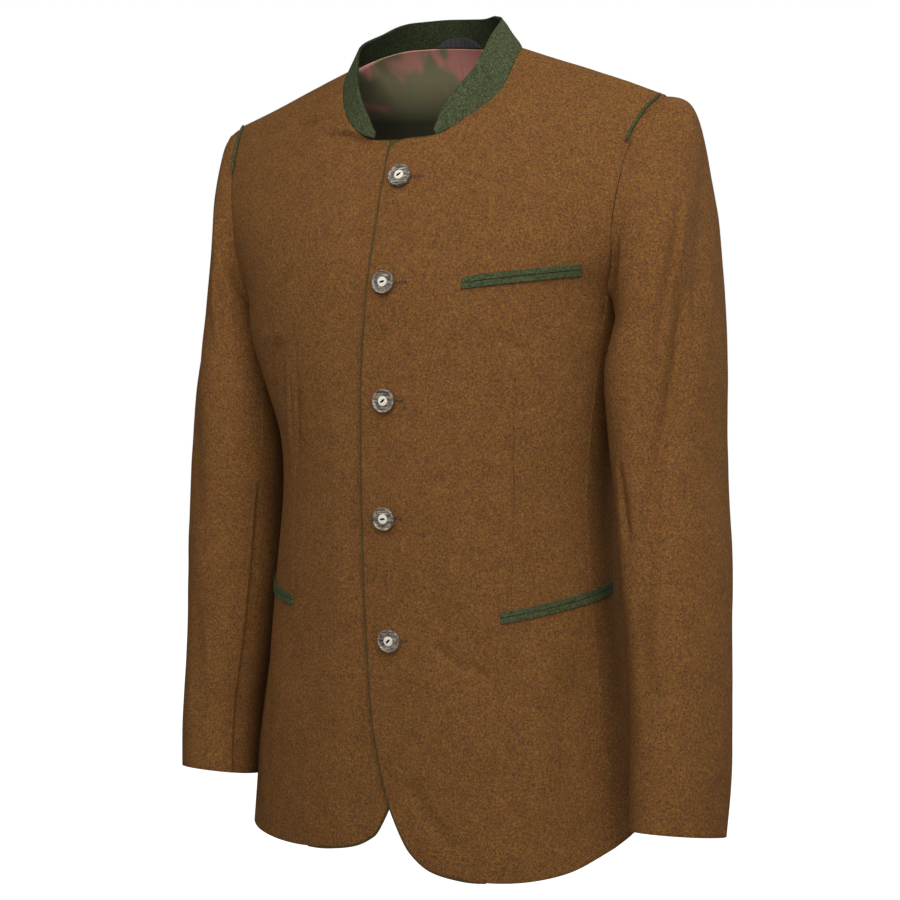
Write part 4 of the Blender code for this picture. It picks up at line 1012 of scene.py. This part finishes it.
class JACKET_OT_buttonholes(bpy.types.Operator):
    """Works the buttonholes in silk twist, each with its bar"""

    bl_idname = "jacket.buttonholes"
    bl_label = "Buttonholes"

    def stitch(self):
        """One purl stitch: a half ring of thread over Y, its feet just below zero."""
        bpy.ops.mesh.primitive_torus_add(major_radius=STITCH_SPAN, minor_radius=STITCH_THREAD,
                                         major_segments=16, minor_segments=6,
                                         rotation=(0.0, math.pi / 2.0, 0.0))
        stitch = bpy.context.object
        bpy.ops.object.transform_apply(rotation=True)
        with editing(stitch):
            bpy.ops.mesh.select_all(action="SELECT")
            bpy.ops.mesh.bisect(plane_co=(0.0, 0.0, -STITCH_FOOT), plane_no=(0.0, 0.0, -1.0),
                                clear_outer=True, use_fill=True)
            bpy.ops.mesh.select_all(action="SELECT")
            bpy.ops.transform.resize(value=(1.0, 1.0, STITCH_FLAT), center_override=(0.0, 0.0, 0.0))
        return stitch

    def execute(self, context):
        thread = spun_thread("silk_twist", context.scene.jacket_buttons.thread)
        stitch = self.stitch()
        cloth = surface_of(shell_of("front_left"))
        for button in BUTTONS:
            places = []
            for index in range(FIRST_STITCH, int(button.reach / STITCH_PITCH)):
                for row in (-1, 1):
                    places.append((index * STITCH_PITCH, row * STITCH_ROW, 1.0))
            for index in range(BAR_THREADS):
                places.append((button.reach + (index - 0.5) * BAR_PITCH, 0.0, BAR_WIDTH))
            mesh = bmesh.new()
            for across, rise, width in places:
                copy = stitch.data.copy()
                copy.transform(seat_by(cloth, button.node, across, rise)
                               @ Matrix.Diagonal((1.0, width, 1.0, 1.0)))
                mesh.from_mesh(copy)
                bpy.data.meshes.remove(copy)
            data = bpy.data.meshes.new(f"{button.node}_hole")
            mesh.to_mesh(data)
            mesh.free()
            data.validate()
            piece = bpy.data.objects.new(f"{button.node}_hole_stitches", data)
            context.scene.collection.objects.link(piece)
            smooth(piece, THREAD_ANGLE)
            piece.data.materials.append(thread)
            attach(piece, "root")
        bpy.data.objects.remove(stitch)
        return {"FINISHED"}


class JACKET_OT_cuts(bpy.types.Operator):
    bl_idname = "jacket.cuts"
    bl_label = "Flat cuts"

    def execute(self, context):
        return {"FINISHED"}


class JACKET_OT_stage(bpy.types.Operator):
    """Sets the floor, the soft lights and the camera"""

    bl_idname = "jacket.stage"
    bl_label = "Stage"

    def execute(self, context):
        look = context.scene.jacket_stage
        scene = context.scene
        bpy.ops.mesh.primitive_plane_add(size=FLOOR_SPAN, location=(0.0, 0.0, CAD_BOX[0].z - FLOOR_DROP))
        floor = bpy.context.object
        floor.name = "studio_floor"
        bpy.ops.object.transform_apply(location=True)
        floor.data.materials.append(painted_floor())
        world = bpy.data.worlds.new("studio")
        scene.world = world
        world.use_nodes = True
        background = world.node_tree.nodes["Background"]
        background.inputs["Color"].default_value = look.sky
        # the walls look white, and light the cloth less than they look
        seen = add_node(world, "LightPath").outputs["Is Camera Ray"]
        strength = add_node(world, "MapRange", {"Value": seen, "To Min": look.sky_strength, "To Max": 1.0})
        world.node_tree.links.new(strength.outputs["Result"], background.inputs["Strength"])
        for name, place, size in LIGHTS:
            data = bpy.data.lights.new(name, "AREA")
            data.size = size
            data.energy = getattr(look, f"{name}_power")
            lamp = bpy.data.objects.new(name, data)
            scene.collection.objects.link(lamp)
            lamp.location = place
            lamp.rotation_euler = (LIT_PLACE - Vector(place)).to_track_quat("-Z", "Y").to_euler()
        camera = bpy.data.objects.new("camera", bpy.data.cameras.new("camera"))
        scene.collection.objects.link(camera)
        scene.camera = camera
        camera.data.lens = LENS_MM
        camera.data.sensor_width = SENSOR_MM
        camera.data.dof.use_dof = False
        camera.location = (VIEW_DISTANCE * math.sin(VIEW_TURN), -VIEW_DISTANCE * math.cos(VIEW_TURN),
                           VIEW_HEIGHT)
        camera.rotation_euler = (math.pi / 2.0 - VIEW_PITCH, 0.0, VIEW_TURN - VIEW_YAW)
        scene.view_settings.view_transform = "Standard"
        return {"FINISHED"}


STEPS = (JACKET_OT_body, JACKET_OT_sleeves, JACKET_OT_collar, JACKET_OT_welts, JACKET_OT_piping,
         JACKET_OT_lining, JACKET_OT_seams, JACKET_OT_buttons, JACKET_OT_buttonholes, JACKET_OT_cuts,
         JACKET_OT_stage)
GROUPS = {"jacket_cloth": JacketCloth, "jacket_trim": JacketTrim, "jacket_lining": JacketLining,
          "jacket_buttons": JacketButtons, "jacket_stage": JacketStage}


class JACKET_PT_steps(bpy.types.Panel):
    """Lists the jacket's operators and settings"""

    bl_label = "Loden Jacket"
    bl_idname = "JACKET_PT_steps"
    bl_space_type = "VIEW_3D"
    bl_region_type = "UI"
    bl_category = "Loden Jacket"

    def draw(self, context):
        for step in STEPS:
            self.layout.operator(step.bl_idname, text=step.bl_label)
        for group in GROUPS:
            box = self.layout.box()
            settings = getattr(context.scene, group)
            for name in settings.bl_rna.properties.keys():
                if name not in ("rna_type", "name"):
                    box.prop(settings, name)


def register():
    """Registers the settings, the operators and the panel."""
    for name, group in GROUPS.items():
        bpy.utils.register_class(group)
        setattr(bpy.types.Scene, name, bpy.props.PointerProperty(type=group))
    for made in (*STEPS, JACKET_PT_steps):
        bpy.utils.register_class(made)


def unregister():
    """Takes them away again."""
    for made in reversed((*STEPS, JACKET_PT_steps)):
        bpy.utils.unregister_class(made)
    for name, group in GROUPS.items():
        delattr(bpy.types.Scene, name)
        bpy.utils.unregister_class(group)


def main():
    register()
    for step in STEPS:
        getattr(bpy.ops.jacket, step.bl_idname.removeprefix("jacket."))()


if __name__ == "__main__":
    main()
